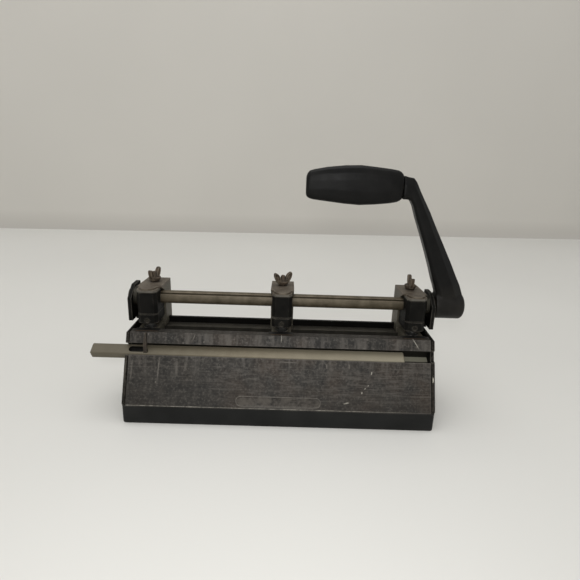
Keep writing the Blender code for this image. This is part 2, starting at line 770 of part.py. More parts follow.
def make_shaft():
    axis = (SHAFT_Y, SHAFT_Z)
    edge = CORNER_BREAK
    profile = [
        (0, SHAFT_LEFT_X),
        (SHAFT_RADIUS - edge, SHAFT_LEFT_X),
        (SHAFT_RADIUS, SHAFT_LEFT_X + edge),
        (SHAFT_RADIUS, SHAFT_RIGHT_X),
        (0, SHAFT_RIGHT_X),
    ]
    body = turned(profile, "X", axis)
    key_floor = SHAFT_RADIUS - KEYWAY_DEPTH
    start = SHAFT_LEFT_X - OVERRUN
    carve(body, key_block(start, HUB_LEFT_X, key_floor, SHAFT_RADIUS + OVERRUN, KEYWAY_WIDTH))
    place("shaft", finished(body, (0, *axis)), SHAFT_STEEL, (0, *axis))
    near = BUSH_LEFT_END - GAP
    far = near - COLLAR_LENGTH
    profile = [
        (SHAFT_BORE_RADIUS, near),
        (COLLAR_RADIUS, near),
        (COLLAR_RADIUS, far),
        (SHAFT_BORE_RADIUS, far),
    ]
    body = turned(profile, "X", axis, ROUND_STEPS, ring=True)
    place("shaft_collar", finished(body, (0, *axis)), SCREW_STEEL, (0, *axis))


def arm_section(inner, outer, depth):
    """An eight-sided section of the arm, from its inner to its outer edge in the front view."""
    inner = Vector((inner[0], 0, inner[1]))
    outer = Vector((outer[0], 0, outer[1]))
    corner = ARM_CORNER_SHARE
    half = depth / 2
    points = (
        (0, -half * (1 - corner)),
        (corner / 2, -half),
        (1 - corner, -half),
        (1, -half * corner),
        (1, half * corner),
        (1 - corner, half),
        (corner / 2, half),
        (0, half * (1 - corner)),
    )
    return [inner.lerp(outer, t) + Vector((0, SHAFT_Y + y, 0)) for t, y in points]


def arm_stations():
    """Inner edge, outer edge and depth of the arm in the front view, from the hub to the grip."""
    width = ARM_WIDTH_AT_HUB
    rise = GRIP_Z - SHAFT_Z
    # Inner x, inner z, outer x and outer z, over the arm's width at the hub and the rise to the grip
    edge_shares = (
        (0.035, -0.020, 0.974, -0.020),
        (0.017, 0.107, 0.983, 0.106),
        (-0.080, 0.170, 0.839, 0.192),
        (-0.190, 0.236, 0.652, 0.275),
        (-0.285, 0.304, 0.409, 0.389),
        (-0.526, 0.460, 0.074, 0.536),
        (-0.774, 0.611, -0.252, 0.678),
        (-1.018, 0.752, -0.548, 0.812),
        (-1.165, 0.850, -0.774, 0.903),
        (-1.270, 0.893, -0.943, 0.973),
        (-1.340, 0.902, -1.096, 1.043),
        (-1.420, 0.903, -1.209, 1.074),
        (-1.487, 0.903, -1.396, 1.080),
        (-1.552, 0.902, -1.552, 1.092),
    )
    stations = []
    for x0, z0, x1, z1 in edge_shares:
        inner = (HUB_LEFT_X + x0 * width, SHAFT_Z + z0 * rise)
        outer = (HUB_LEFT_X + x1 * width, SHAFT_Z + z1 * rise)
        gone = max(0, min(1, (z0 + z1) / 2))
        depth = ARM_DEPTH_AT_HUB + (ARM_DEPTH_AT_GRIP - ARM_DEPTH_AT_HUB) * gone
        stations.append((inner, outer, depth))
    return stations


def make_lever_arm():
    axis = (SHAFT_Y, SHAFT_Z)
    profile = [
        (0, HUB_LEFT_X),
        (HUB_RADIUS, HUB_LEFT_X),
        (HUB_RADIUS, HUB_RIGHT_X - HUB_EDGE),
        (HUB_RADIUS - HUB_EDGE, HUB_RIGHT_X),
        (0, HUB_RIGHT_X),
    ]
    body = turned(profile, "X", axis)
    stations = arm_stations()
    arm = loft([arm_section(*station) for station in stations])
    end_x = stations[-1][0][0]
    tang = rod(TANG_RADIUS, end_x - TANG_LENGTH, end_x + TANG_RADIUS, "X", (SHAFT_Y, GRIP_Z), SMALL_STEPS)
    fuse(body, arm, tang)
    bore_ends = (HUB_LEFT_X - OVERRUN, SHAFT_RIGHT_X + GAP)
    bore = rod(SHAFT_BORE_RADIUS, *bore_ends, "X", axis, HUB_BORE_STEPS)
    carve(body, bore, set_screw_blank(GAP, OVERRUN))
    place("lever_arm", finished(body, (0, *axis)), LEVER_BLACK, (0, *axis))
    body = set_screw_blank(0, 0)
    top = SHAFT_Y + HUB_RADIUS - CORNER_BREAK
    half = SCREW_SLOT / 2
    across = LEVER_SCREW_RADIUS + OVERRUN
    slot = block(
        (LEVER_SCREW_X - half, LEVER_SCREW_X + half),
        (top - SCREW_SLOT_DEPTH, top + OVERRUN),
        (SHAFT_Z - across, SHAFT_Z + across),
    )
    carve(body, slot)
    place("lever_set_screw", finished(body, (0, *axis)), SCREW_STEEL, (0, *axis))


def set_screw_blank(clearance, overrun):
    """The headless screw in the hub's rear that bears on the shaft, or with a clearance its hole."""
    low = SHAFT_Y + SHAFT_RADIUS + GAP - overrun
    high = SHAFT_Y + HUB_RADIUS - CORNER_BREAK + overrun
    return rod(LEVER_SCREW_RADIUS + clearance, low, high, "Y", (LEVER_SCREW_X, SHAFT_Z), SMALL_STEPS)


def grip_section(x, low, high, depth):
    """A fat oval across the grip."""
    middle = (low + high) / 2
    half = (high - low) / 2
    section = []
    for i in range(SMALL_STEPS):
        turn = 2 * pi * (i + 0.5) / SMALL_STEPS
        across = abs(cos(turn)) ** GRIP_FULLNESS * (1 if cos(turn) > 0 else -1)
        up = abs(sin(turn)) ** GRIP_FULLNESS * (1 if sin(turn) > 0 else -1)
        section.append((x, SHAFT_Y + depth * across, middle + half * up))
    return section


def make_lever_grip():
    """A paddle grip, blunt at its free end, with a socket for the arm's tang."""
    end_x = arm_stations()[-1][0][0] - GAP
    free_end = end_x - GRIP_LENGTH
    # Place along the grip, low edge, high edge and depth, over its length, height and half depth
    grip_shares = (
        (0.000, -0.257, 0.187, 0.55),
        (0.010, -0.320, 0.263, 0.72),
        (0.033, -0.357, 0.333, 0.82),
        (0.080, -0.387, 0.370, 0.88),
        (0.213, -0.423, 0.437, 0.94),
        (0.400, -0.470, 0.490, 1.00),
        (0.560, -0.493, 0.507, 1.00),
        (0.720, -0.467, 0.473, 0.98),
        (0.867, -0.427, 0.437, 0.94),
        (0.947, -0.390, 0.407, 0.88),
        (0.977, -0.353, 0.363, 0.82),
        (1.000, -0.310, 0.300, 0.74),
    )
    sections = []
    for along_share, low, high, depth in grip_shares:
        x = free_end + along_share * GRIP_LENGTH
        ends = (GRIP_Z + low * GRIP_HEIGHT, GRIP_Z + high * GRIP_HEIGHT)
        sections.append(grip_section(x, *ends, depth * GRIP_HALF_DEPTH))
    body = loft(sections)
    socket_end = end_x + GAP - TANG_LENGTH - GAP
    carve(body, rod(TANG_RADIUS + GAP, socket_end, end_x + OVERRUN, "X", (SHAFT_Y, GRIP_Z), SMALL_STEPS))
    axis = (SHAFT_Y, SHAFT_Z)
    place("lever_grip", finished(body, (0, *axis)), LEVER_BLACK, (0, *axis))


def cap_outline():
    """The head's cap from above: square at the rear, a round lobe over the punch."""
    half = HEAD_WIDTH / 2
    steps = SMALL_STEPS // 2
    length = SHOULDER_Y - LOBE_FRONT_Y
    lobe = []
    for k in range(steps + 1):
        turn = pi * k / steps
        lobe.append((-LOBE_HALF * cos(turn), SHOULDER_Y - length * sin(turn)))
    rear = [(half, SHOULDER_Y + CAP_CORNER), (half, HEAD_REAR_Y), (-half, HEAD_REAR_Y)]
    corners = rear + [(-half, SHOULDER_Y + CAP_CORNER)]
    return filleted(corners, (0, CAP_CORNER, CAP_CORNER, 0)) + lobe


def housing_outline(front, rear):
    """The eight-sided column from above, chamfered at its front corners."""
    half = HOUSING_WIDTH / 2
    cut = HOUSING_CHAMFER
    return [
        (half, rear),
        (-half, rear),
        (-half, front + cut),
        (-half + cut, front),
        (half - cut, front),
        (half, front + cut),
    ]


def shaft_bore(half):
    return rod(SHAFT_BORE_RADIUS, -half - OVERRUN, half + OVERRUN, "X", (SHAFT_Y, SHAFT_Z))


def punch_bore(low, high, radius=BORE_RADIUS):
    return rod(radius, low, high, "Z", (0, PUNCH_Y))


def front_screw_sizes():
    """Sizes, centre and outer face of the small screw in the guide block's front."""
    sizes = (SET_SCREW_LENGTH, SET_SCREW_RADIUS, GUIDE_SCREW_HEAD_RADIUS, GUIDE_SCREW_HEAD)
    return sizes, (0, THROAT_TOP_Z + SET_SCREW_UP), HOUSING_FRONT_Y - GUIDE_PROUD + SCREW_SINK


def front_screw_seat():
    sizes, centre, face = front_screw_sizes()
    return screw_seat(*sizes, "Y", centre, face, 1)


def rear_screw_sizes(centre):
    """A long screw from the head's rear into one of the punch's guides."""
    length = HEAD_REAR_Y - COLUMN_FRONT_Y + REAR_SCREW_BITE
    return (length, GUIDE_SCREW_RADIUS, GUIDE_SCREW_HEAD_RADIUS, GUIDE_SCREW_HEAD), centre


def rear_screw_centres():
    return (
        (-REAR_SCREW_OUT, HOUSING_BOTTOM_Z + REAR_SCREW_UP),
        (REAR_SCREW_OUT, GUIDE_TOP_Z - REAR_SCREW_UP),
    )


def rear_screw_seat(centre):
    sizes, centre = rear_screw_sizes(centre)
    return screw_seat(*sizes, "Y", centre, HEAD_REAR_Y - SCREW_SINK, -1)


def rear_screw_mesh(centre):
    sizes, centre = rear_screw_sizes(centre)
    slot = (SCREW_SLOT / 2, GUIDE_SCREW_HEAD / 2)
    return finished(screw(*sizes, *slot, "Y", centre, HEAD_REAR_Y - SCREW_SINK, -1))


def cap_top(y):
    """The cap's top face, which falls a little towards the rear."""
    return HEAD_TOP_Z - CAP_SLOPE * (y - LOBE_FRONT_Y)


def head_frame_mesh():
    """The C-shaped casting: jaw, column, slanted web, cap and the foot that hooks under the rail."""
    foot_z = RAIL_TOP_Z + GAP
    rail_under = RAIL_TOP_Z - RAIL_HEAD - GAP
    hook = RAIL_FRONT_Y + HOOK_DEPTH
    ahead = LOBE_FRONT_Y - OVERRUN
    corners = [
        (ahead, COLLAR_TOP_Z),
        (WEB_FRONT_Y, COLLAR_TOP_Z),
        (COLUMN_FRONT_Y, WEB_LOW_Z),
        (COLUMN_FRONT_Y, PAPER_Z),
        (RAIL_FRONT_Y - GAP, PAPER_Z),
        (RAIL_FRONT_Y - GAP, foot_z),
        (CHANNEL_REAR_Y - GAP, foot_z),
        (CHANNEL_REAR_Y - GAP, PAPER_Z + GAP),
        (REAR_TOP_Y + REAR_LIP_GAP, PAPER_Z + GAP),
        (rear_y(REAR_LIP_Z) + REAR_LIP_GAP, REAR_LIP_Z),
        (HEAD_REAR_Y, REAR_LIP_Z),
        (HEAD_REAR_Y, cap_top(HEAD_REAR_Y)),
        (ahead, cap_top(ahead)),
    ]
    radii = [0] * len(corners)
    radii[-2] = CAP_REAR_ROUND
    half = HEAD_WIDTH / 2
    profile = prism(filleted(corners, radii), -half - OVERRUN, half + OVERRUN)
    body = prism(cap_outline(), foot_z - OVERRUN, HEAD_TOP_Z + OVERRUN, "Z")
    boolean(body, profile, "INTERSECT")
    body = softened(link_mesh("blank", finished(body)), CAP_EDGE)
    jaw_outline = [
        (RIM_REAR_Y + GAP, PAPER_Z),
        (RIM_REAR_Y + GAP, JAW_BOTTOM_Z),
        (hook, JAW_BOTTOM_Z),
        (hook, rail_under),
        (RAIL_FRONT_Y - GAP, rail_under),
        (RAIL_FRONT_Y - GAP, foot_z),
        (hook, foot_z),
        (hook, PAPER_Z),
    ]
    jaw = prism(jaw_outline, -JAW_WIDTH / 2, JAW_WIDTH / 2)
    collar_z = (HOUSING_TOP_Z + GAP, COLLAR_TOP_Z + GAP)
    collar = prism(housing_outline(HOUSING_FRONT_Y, WEB_FRONT_Y + CAP_WALL), *collar_z, "Z")
    fuse(body, jaw, collar)
    pinion_slot = block(
        (-SLOT_HALF, SLOT_HALF),
        (PUNCH_Y, SHAFT_Y + PINION_BACK_RADIUS + GAP),
        (SHAFT_Z - SLOT_REACH, SHAFT_Z + SLOT_REACH),
    )
    die_seat = punch_bore(PAPER_Z - DIE_HEIGHT - GAP, PAPER_Z + OVERRUN, DIE_RADIUS + GAP)
    chip_bore = punch_bore(JAW_BOTTOM_Z - OVERRUN, PAPER_Z, CHIP_BORE_RADIUS)
    pocket = punch_bore(HOUSING_TOP_Z - OVERRUN, PUNCH_TOP_Z + GAP)
    screw_ends = (foot_z - OVERRUN, HEAD_TOP_Z + OVERRUN)
    screw_bore = rod(WING_STEM_RADIUS + GAP, *screw_ends, "Z", (0, WING_SCREW_Y), SMALL_STEPS)
    seat_ends = (WING_SEAT_Z, HEAD_TOP_Z + OVERRUN)
    seat = rod(WING_BOSS_RADIUS + GAP, *seat_ends, "Z", (0, WING_SCREW_Y), SMALL_STEPS)
    carve(body, pinion_slot, shaft_bore(half), die_seat, chip_bore, pocket, screw_bore, seat)
    carve(body, *[rear_screw_seat(centre) for centre in rear_screw_centres()])
    return finished(body)


def housing_mesh():
    """The punch's upper guide, with a saddle under the shaft and a slot for the pinion."""
    rear = COLUMN_FRONT_Y - GAP
    body = prism(housing_outline(HOUSING_FRONT_Y, rear), HOUSING_BOTTOM_Z, HOUSING_TOP_Z, "Z")
    slot = block(
        (-SLOT_HALF, SLOT_HALF),
        (PUNCH_Y, rear + OVERRUN),
        (SHAFT_Z - SLOT_REACH, HOUSING_TOP_Z + OVERRUN),
    )
    open_rear = block(
        (-HEAD_WIDTH, HEAD_WIDTH),
        (HOUSING_CREST_Y, rear + OVERRUN),
        (SHAFT_Z, HOUSING_TOP_Z + OVERRUN),
    )
    bore = punch_bore(HOUSING_BOTTOM_Z - OVERRUN, HOUSING_TOP_Z + OVERRUN)
    carve(body, bore, slot, open_rear, shaft_bore(HOUSING_WIDTH / 2))
    carve(body, rear_screw_seat(rear_screw_centres()[0]))
    return finished(body)


def guide_mesh():
    """The lower guide block, whose underside strips the paper off the punch."""
    rear = COLUMN_FRONT_Y - GAP
    body = prism(housing_outline(HOUSING_FRONT_Y - GUIDE_PROUD, rear), THROAT_TOP_Z, GUIDE_TOP_Z, "Z")
    bore = punch_bore(THROAT_TOP_Z - OVERRUN, GUIDE_TOP_Z + OVERRUN)
    carve(body, bore, front_screw_seat(), rear_screw_seat(rear_screw_centres()[1]))
    return finished(body)


def die_mesh():
    low = PAPER_Z - DIE_HEIGHT
    inner = PUNCH_RADIUS + DIE_CLEARANCE
    profile = [(inner, low), (DIE_RADIUS, low), (DIE_RADIUS, PAPER_Z), (inner, PAPER_Z)]
    return finished(turned(profile, "Z", (0, PUNCH_Y), ROUND_STEPS, ring=True))


def rack_cutter():
    """What is cut from the back of the punch to leave its rack teeth."""
    pitch_y = PUNCH_Y + PUNCH_TO_PITCH
    tip_y = pitch_y + MODULE
    root_y = pitch_y - DEDENDUM_SHARE * MODULE
    quarter = RACK_PITCH / 4
    wide = quarter + MODULE * tan(PRESSURE_ANGLE)
    narrow = quarter - DEDENDUM_SHARE * MODULE * tan(PRESSURE_ANGLE)
    back_y = PUNCH_Y + PUNCH_RADIUS + OVERRUN
    first = SHAFT_Z - RACK_PITCH
    outline = [(back_y, first - RACK_PITCH / 2), (tip_y, first - RACK_PITCH / 2)]
    space = first
    while space < PUNCH_TOP_Z + RACK_PITCH:
        outline += [(tip_y, space - wide), (root_y, space - narrow)]
        outline += [(root_y, space + narrow), (tip_y, space + wide)]
        space += RACK_PITCH
    outline += [(back_y, outline[-1][1])]
    return prism(outline, -PUNCH_RADIUS - OVERRUN, PUNCH_RADIUS + OVERRUN)


def punch_mesh():
    """A round punch with a rack cut in its back and a hollow-ground end."""
    profile = [
        (0, PUNCH_TIP_Z + PUNCH_HOLLOW),
        (PUNCH_RADIUS, PUNCH_TIP_Z),
        (PUNCH_RADIUS, PUNCH_TOP_Z),
        (0, PUNCH_TOP_Z),
    ]
    body = turned(profile, "Z", (0, PUNCH_Y))
    carve(body, rack_cutter())
    return finished(body, (0, PUNCH_Y, 0))


def tooth_outline(index):
    """One involute tooth of the sector, as (y, z) points from its lower to its upper root."""
    base = PITCH_RADIUS * cos(PRESSURE_ANGLE)
    half_at_pitch = (RACK_PITCH / 2 - BACKLASH) / (2 * PITCH_RADIUS)
    middle = 2 * pi * index / TEETH
    flank = []
    for k in range(FLANK_STEPS + 1):
        radius = base + (TIP_RADIUS - base) * k / FLANK_STEPS
        angle = acos(min(1, base / radius))
        roll = (tan(PRESSURE_ANGLE) - PRESSURE_ANGLE) - (tan(angle) - angle)
        flank.append((radius, half_at_pitch + roll))
    flank.insert(0, (ROOT_RADIUS, flank[0][1]))
    polar = [(r, middle - a) for r, a in flank] + [(r, middle + a) for r, a in reversed(flank)]
    return [(SHAFT_Y - r * cos(a), SHAFT_Z + r * sin(a)) for r, a in polar]


def pinion_mesh():
    """A sector pinion keyed to the shaft, plain at the back."""
    outline = []
    for index in range(TOOTH_FIRST, TOOTH_LAST + 1):
        outline += tooth_outline(index)
    start = 2 * pi * (TOOTH_LAST + 0.5) / TEETH
    stop = 2 * pi * (TOOTH_FIRST - 0.5) / TEETH + 2 * pi
    steps = SMALL_STEPS
    for k in range(steps + 1):
        turn = start + (stop - start) * k / steps
        outline.append((SHAFT_Y - PINION_BACK_RADIUS * cos(turn), SHAFT_Z + PINION_BACK_RADIUS * sin(turn)))
    half = PINION_WIDTH / 2
    body = prism(outline, -half, half)
    carve(body, shaft_bore(half))
    key_root = SHAFT_RADIUS - KEYWAY_DEPTH + GAP
    fuse(body, key_block(-half, half, key_root, ROOT_RADIUS - BITE / 2, KEYWAY_WIDTH - 2 * GAP))
    return finished(body, (0, SHAFT_Y, SHAFT_Z))


def wing_screw_mesh():
    """A wing screw: stem down to the rail, boss, post and two ears."""
    centre = (0, WING_SCREW_Y)
    base = WING_SEAT_Z + GAP
    top = base + WING_RISE
    boss_top = base + WING_BOSS_HEIGHT
    profile = [
        (0, RAIL_TOP_Z + GAP),
        (WING_STEM_RADIUS, RAIL_TOP_Z + GAP),
        (WING_STEM_RADIUS, base),
        (WING_BOSS_RADIUS, base),
        (WING_BOSS_TOP_RADIUS, boss_top),
        (WING_POST_RADIUS, boss_top),
        (WING_POST_RADIUS, top - CORNER_BREAK),
        (WING_POST_RADIUS - CORNER_BREAK, top),
        (0, top),
    ]
    body = turned(profile, "Z", centre, SMALL_STEPS)
    reach = WING_SPAN / 2
    rise = WING_RISE
    low = base + CORNER_BREAK
    # Shares of the half span and of the rise, round one ear and across to the other
    ear_shares = (
        (0.30, 0.00),
        (0.62, 0.18),
        (0.90, 0.55),
        (1.02, 0.85),
        (0.98, 1.03),
        (0.86, 1.08),
        (0.66, 0.98),
        (0.46, 0.70),
        (0.30, 0.45),
        (0.14, 0.42),
    )
    right = [(reach * a, low + rise * b) for a, b in ear_shares]
    left = [(-x, z) for x, z in reversed(right)]
    ears = prism(right + left, WING_SCREW_Y - WING_WALL / 2, WING_SCREW_Y + WING_WALL / 2, "Y")
    fuse(body, ears)
    return finished(body, (0, WING_SCREW_Y, 0))


def front_screw_mesh():
    sizes, centre, face = front_screw_sizes()
    slot = (SCREW_SLOT / 2, GUIDE_SCREW_HEAD / 2)
    return finished(screw(*sizes, *slot, "Y", centre, face, 1))


def make_heads():
    """Three like heads along the shaft, each with its own punch, pinion and wing screw."""
    fixed = (
        ("head_frame", head_frame_mesh(), HEAD_STEEL),
        ("punch_housing", housing_mesh(), PAINTED_BLACK),
        ("guide_block", guide_mesh(), PAINTED_BLACK),
        ("die", die_mesh(), TOOL_STEEL),
        ("guide_set_screw", front_screw_mesh(), SCREW_STEEL),
        ("housing_screw", rear_screw_mesh(rear_screw_centres()[0]), SCREW_STEEL),
        ("guide_screw", rear_screw_mesh(rear_screw_centres()[1]), SCREW_STEEL),
    )
    punch = punch_mesh()
    pinion = pinion_mesh()
    wing_screw = wing_screw_mesh()
    for index, name in enumerate(HEAD_NAMES):
        x = (index - 1) * HEAD_SPACING
        for kind, mesh, finish in fixed:
            place(f"{kind}_{name}", mesh, finish, (x, 0, 0))
        place(f"punch_{name}", punch, TOOL_STEEL, (x, PUNCH_Y, 0))
        place(f"pinion_{name}", pinion, TOOL_STEEL, (x, SHAFT_Y, SHAFT_Z))
        turn = radians(WING_REST_DEGREES[index])
        place(f"wing_screw_{name}", wing_screw, RUSTED_STEEL, (x, WING_SCREW_Y, 0), turn)


def make_gauge():
    """A square-edged bar in the apron's groove, with a finger that stops the paper's edge."""
    centre = GAUGE_OFFSET_X
    low = centre - GAUGE_LENGTH / 2
    high = centre + GAUGE_LENGTH / 2
    outline = [
        gauge_corner(0, 0),
        gauge_corner(0, -GAUGE_THICKNESS),
        gauge_corner(GAUGE_WIDTH, -GAUGE_THICKNESS),
        gauge_corner(GAUGE_WIDTH, 0),
    ]
    body = softened(prism(outline, low, high), CORNER_BREAK)
    carve(body, gauge_slot(), stop_tang(GAP))
    place("gauge_bar", finished(body), GAUGE_STEEL)
    off = STOP_OFF_APRON
    foot = gauge_corner(GAUGE_WIDTH * STOP_FOOT_SHARE, GAP)
    toe = gauge_corner(GAUGE_WIDTH * STOP_FOOT_SHARE + STOP_THICKNESS, GAP)
    lip = GAUGE_ROOF_Z
    finger = [
        foot,
        toe,
        (apron_y(lip) - off - STOP_THICKNESS, lip),
        (APRON_TOP_Y - off - STOP_THICKNESS, PAPER_Z),
        (APRON_TOP_Y - off - STOP_THICKNESS, PAPER_Z + STOP_REACH),
        (APRON_TOP_Y - off, PAPER_Z + STOP_REACH),
        (APRON_TOP_Y - off, PAPER_Z),
        (apron_y(lip) - off, lip),
    ]
    body = prism(finger, STOP_X - STOP_WALL / 2, STOP_X + STOP_WALL / 2)
    fuse(body, stop_tang(0))
    place("paper_stop", finished(body), RUSTED_STEEL)


def stop_tang(clearance):
    """The finger's tang in the bar, or with a clearance the hole for it."""
    start = GAUGE_WIDTH * STOP_FOOT_SHARE
    ends = (start - clearance, start + STOP_THICKNESS + clearance)
    top = GAUGE_THICKNESS if clearance else GAP + BITE
    bottom = -STOP_TANG - clearance
    outline = [gauge_corner(ends[0], top), gauge_corner(ends[0], bottom)]
    outline += [gauge_corner(ends[1], bottom), gauge_corner(ends[1], top)]
    half = STOP_WALL / 2 + clearance
    return prism(outline, STOP_X - half, STOP_X + half)


def gauge_slot():
    """The oval thumb slot in the bar's wide face."""
    radius = GAUGE_SLOT_WIDTH / 2
    half = GAUGE_SLOT_LENGTH / 2 - radius
    steps = SMALL_STEPS // 2
    turns = [-pi / 2 + pi * k / steps for k in range(steps + 1)]
    outline = [(GAUGE_SLOT_X + half + radius * cos(t), radius * sin(t)) for t in turns]
    outline += [(GAUGE_SLOT_X - half - radius * cos(t), -radius * sin(t)) for t in turns]
    sections = []
    for depth in (-GAUGE_SLOT_DEPTH, OVERRUN):
        row = [(x, *gauge_corner(GAUGE_WIDTH / 2 + across, depth)) for x, across in outline]
        sections.append(row)
    return loft(sections)


clear_scene()
make_side_frames()
make_front_apron()
make_rear_panel()
make_bed_plate()
make_rail()
make_side_screws()
make_chip_tray()
make_brackets()
make_bushes()
make_shaft()
make_lever_arm()
make_lever_grip()
make_heads()
make_gauge()
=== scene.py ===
"""The looks of a heavy three-hole paper punch: worn enamel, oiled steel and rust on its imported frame."""

from math import cos, pi, radians, sin

import bmesh
import bpy
from mathutils import Matrix, Vector


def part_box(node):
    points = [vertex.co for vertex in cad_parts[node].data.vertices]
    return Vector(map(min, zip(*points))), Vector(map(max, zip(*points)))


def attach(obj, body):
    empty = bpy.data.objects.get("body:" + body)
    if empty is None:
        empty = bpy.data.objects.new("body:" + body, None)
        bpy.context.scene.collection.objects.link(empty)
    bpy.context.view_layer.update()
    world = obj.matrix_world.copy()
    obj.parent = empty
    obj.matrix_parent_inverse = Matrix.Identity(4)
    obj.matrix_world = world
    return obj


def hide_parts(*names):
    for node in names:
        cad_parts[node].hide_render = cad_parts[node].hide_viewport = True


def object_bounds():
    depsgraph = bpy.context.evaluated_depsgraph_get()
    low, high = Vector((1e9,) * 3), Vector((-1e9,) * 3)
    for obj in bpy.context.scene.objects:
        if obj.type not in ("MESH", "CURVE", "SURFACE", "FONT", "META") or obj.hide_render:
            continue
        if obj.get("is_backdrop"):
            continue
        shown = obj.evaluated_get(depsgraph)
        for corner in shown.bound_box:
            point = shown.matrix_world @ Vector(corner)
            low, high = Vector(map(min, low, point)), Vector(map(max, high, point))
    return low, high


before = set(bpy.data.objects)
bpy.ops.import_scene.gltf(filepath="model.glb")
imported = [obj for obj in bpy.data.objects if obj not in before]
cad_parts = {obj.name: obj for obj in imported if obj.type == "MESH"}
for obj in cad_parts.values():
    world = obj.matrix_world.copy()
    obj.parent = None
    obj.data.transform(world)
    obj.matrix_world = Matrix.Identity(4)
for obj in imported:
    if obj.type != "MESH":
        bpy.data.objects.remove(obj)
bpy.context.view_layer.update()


# The camera stands in front of the punch at a seated person's eye, looks a little down on it, and
# is tipped by a degree or two, as the hand that held it was.
CAMERA_PLACE = (0.0027, -0.3524, 0.2102)
CAMERA_YAW = radians(0.55)
CAMERA_PITCH = radians(17.17)
CAMERA_ROLL = radians(1.95)
CAMERA_LENS = 27.98
SENSOR_WIDTH = 36.0

camera = bpy.data.objects.new("camera", bpy.data.cameras.new("camera"))
camera.data.lens = CAMERA_LENS
camera.data.sensor_width = SENSOR_WIDTH
heading = Matrix.Rotation(-CAMERA_YAW, 4, "Z") @ Matrix.Rotation(pi / 2 - CAMERA_PITCH, 4, "X")
camera.matrix_world = Matrix.Translation(CAMERA_PLACE) @ heading @ Matrix.Rotation(CAMERA_ROLL, 4, "Z")
bpy.context.scene.collection.objects.link(camera)
bpy.context.scene.camera = camera
bpy.context.scene.view_settings.view_transform = "Standard"


# The room is a plain off-white table top, a shade darker wall behind it, and soft daylight: a broad
# ceiling light over the table, a small lamp above the camera and an even sky round them.
TABLE_COLOUR = (0.69, 0.685, 0.655)
WALL_COLOUR = (0.655, 0.635, 0.59)
ROOM_MOTTLE_SIZE = 0.35
ROOM_MOTTLE = (0.96, 1.04)
ROOM_ROUGHNESS = 0.75
ROOM_SHEEN = 0.2
WALL_FOOT_SHADE = (0.45, 0.43, 0.39)
WALL_FOOT_SHARE = 0.55
WALL_FOOT_HEIGHT = 0.045
TABLE_HALF_WIDTH = 2.0
TABLE_FRONT_Y = -1.6
TABLE_REAR_Y = 0.832
TABLE_ASKEW = 0.072
TABLE_EDGE_DROP = 0.03
WALL_HEIGHT = 1.8
WALL_BEHIND = 0.02
SKY_COLOUR = (1.0, 0.99, 0.97)
SKY_STRENGTH = 0.61
CEILING_LIGHT_PLACE = (-0.25, -0.1, 1.7)
CEILING_LIGHT_SIZE = 1.5
CEILING_LIGHT_POWER = 11.5
LAMP_PLACE = (-0.015, -0.39, 0.255)
LAMP_AIM = (0.0, 0.0, 0.05)
LAMP_SIZE = 0.03
LAMP_POWER = 0.5


def add(tree, kind, inputs=None, **settings):
    """A shader or geometry node with its settings, and with inputs given as values or sockets."""
    made = tree.nodes.new(kind)
    for name, value in settings.items():
        setattr(made, name, value)
    for name, value in (inputs or {}).items():
        if isinstance(value, bpy.types.NodeSocket):
            tree.links.new(value, made.inputs[name])
        else:
            made.inputs[name].default_value = value
    return made


def mixed(tree, share, first, second):
    """A colour between two others."""
    first = first if isinstance(first, bpy.types.NodeSocket) else (*first, 1)
    second = second if isinstance(second, bpy.types.NodeSocket) else (*second, 1)
    made = add(tree, "ShaderNodeMixRGB", {"Fac": share, "Color1": first, "Color2": second})
    return made.outputs["Color"]


def new_finish(name):
    """A node material, its tree and its Principled shader."""
    made = bpy.data.materials.new(name)
    made.use_nodes = True
    return made, made.node_tree, made.node_tree.nodes["Principled BSDF"]


def shaded_spot(tree):
    """Where a shaded spot is: as one vector, and its parts across, back and up."""
    coords = add(tree, "ShaderNodeTexCoord").outputs["Object"]
    return coords, add(tree, "ShaderNodeSeparateXYZ", {"Vector": coords}).outputs


def room_finish(name, colour, foot_shade):
    """Matt paint with faint clouds in it, and for a wall a painted shadow along its foot, where the table
    meets it.
    """
    made, tree, shader = new_finish(name)
    coords, (_, _, height) = shaded_spot(tree)
    clouds = add(tree, "ShaderNodeTexNoise", {"Vector": coords, "Scale": 1 / ROOM_MOTTLE_SIZE})
    dim, bright = ([share * c for c in colour] for share in ROOM_MOTTLE)
    paint = mixed(tree, clouds.outputs["Fac"], dim, bright)
    if foot_shade:
        low = {"Value": height, "From Min": WALL_FOOT_HEIGHT, "From Max": 0.0, "To Max": WALL_FOOT_SHARE}
        paint = mixed(tree, add(tree, "ShaderNodeMapRange", low).outputs["Result"], paint, foot_shade)
    tree.links.new(paint, shader.inputs["Base Color"])
    shader.inputs["Roughness"].default_value = ROOM_ROUGHNESS
    shader.inputs["Specular IOR Level"].default_value = ROOM_SHEEN
    return made


def room_sheet(name, corners, colour, foot_shade=None):
    mesh = bpy.data.meshes.new(name)
    mesh.from_pydata(corners, [], [tuple(range(len(corners)))])
    mesh.materials.append(room_finish(name, colour, foot_shade))
    sheet = bpy.data.objects.new(name, mesh)
    bpy.context.scene.collection.objects.link(sheet)
    sheet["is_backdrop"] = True


left_rear = TABLE_REAR_Y - TABLE_ASKEW * TABLE_HALF_WIDTH
right_rear = TABLE_REAR_Y + TABLE_ASKEW * TABLE_HALF_WIDTH
table_corners = [(-TABLE_HALF_WIDTH, TABLE_FRONT_Y, 0), (TABLE_HALF_WIDTH, TABLE_FRONT_Y, 0)]
table_corners += [(TABLE_HALF_WIDTH, right_rear, 0), (-TABLE_HALF_WIDTH, left_rear, 0)]
room_sheet("table", table_corners, TABLE_COLOUR)
wall_foot = [(-TABLE_HALF_WIDTH, left_rear + WALL_BEHIND), (TABLE_HALF_WIDTH, right_rear + WALL_BEHIND)]
wall_corners = [(x, y, -TABLE_EDGE_DROP) for x, y in wall_foot]
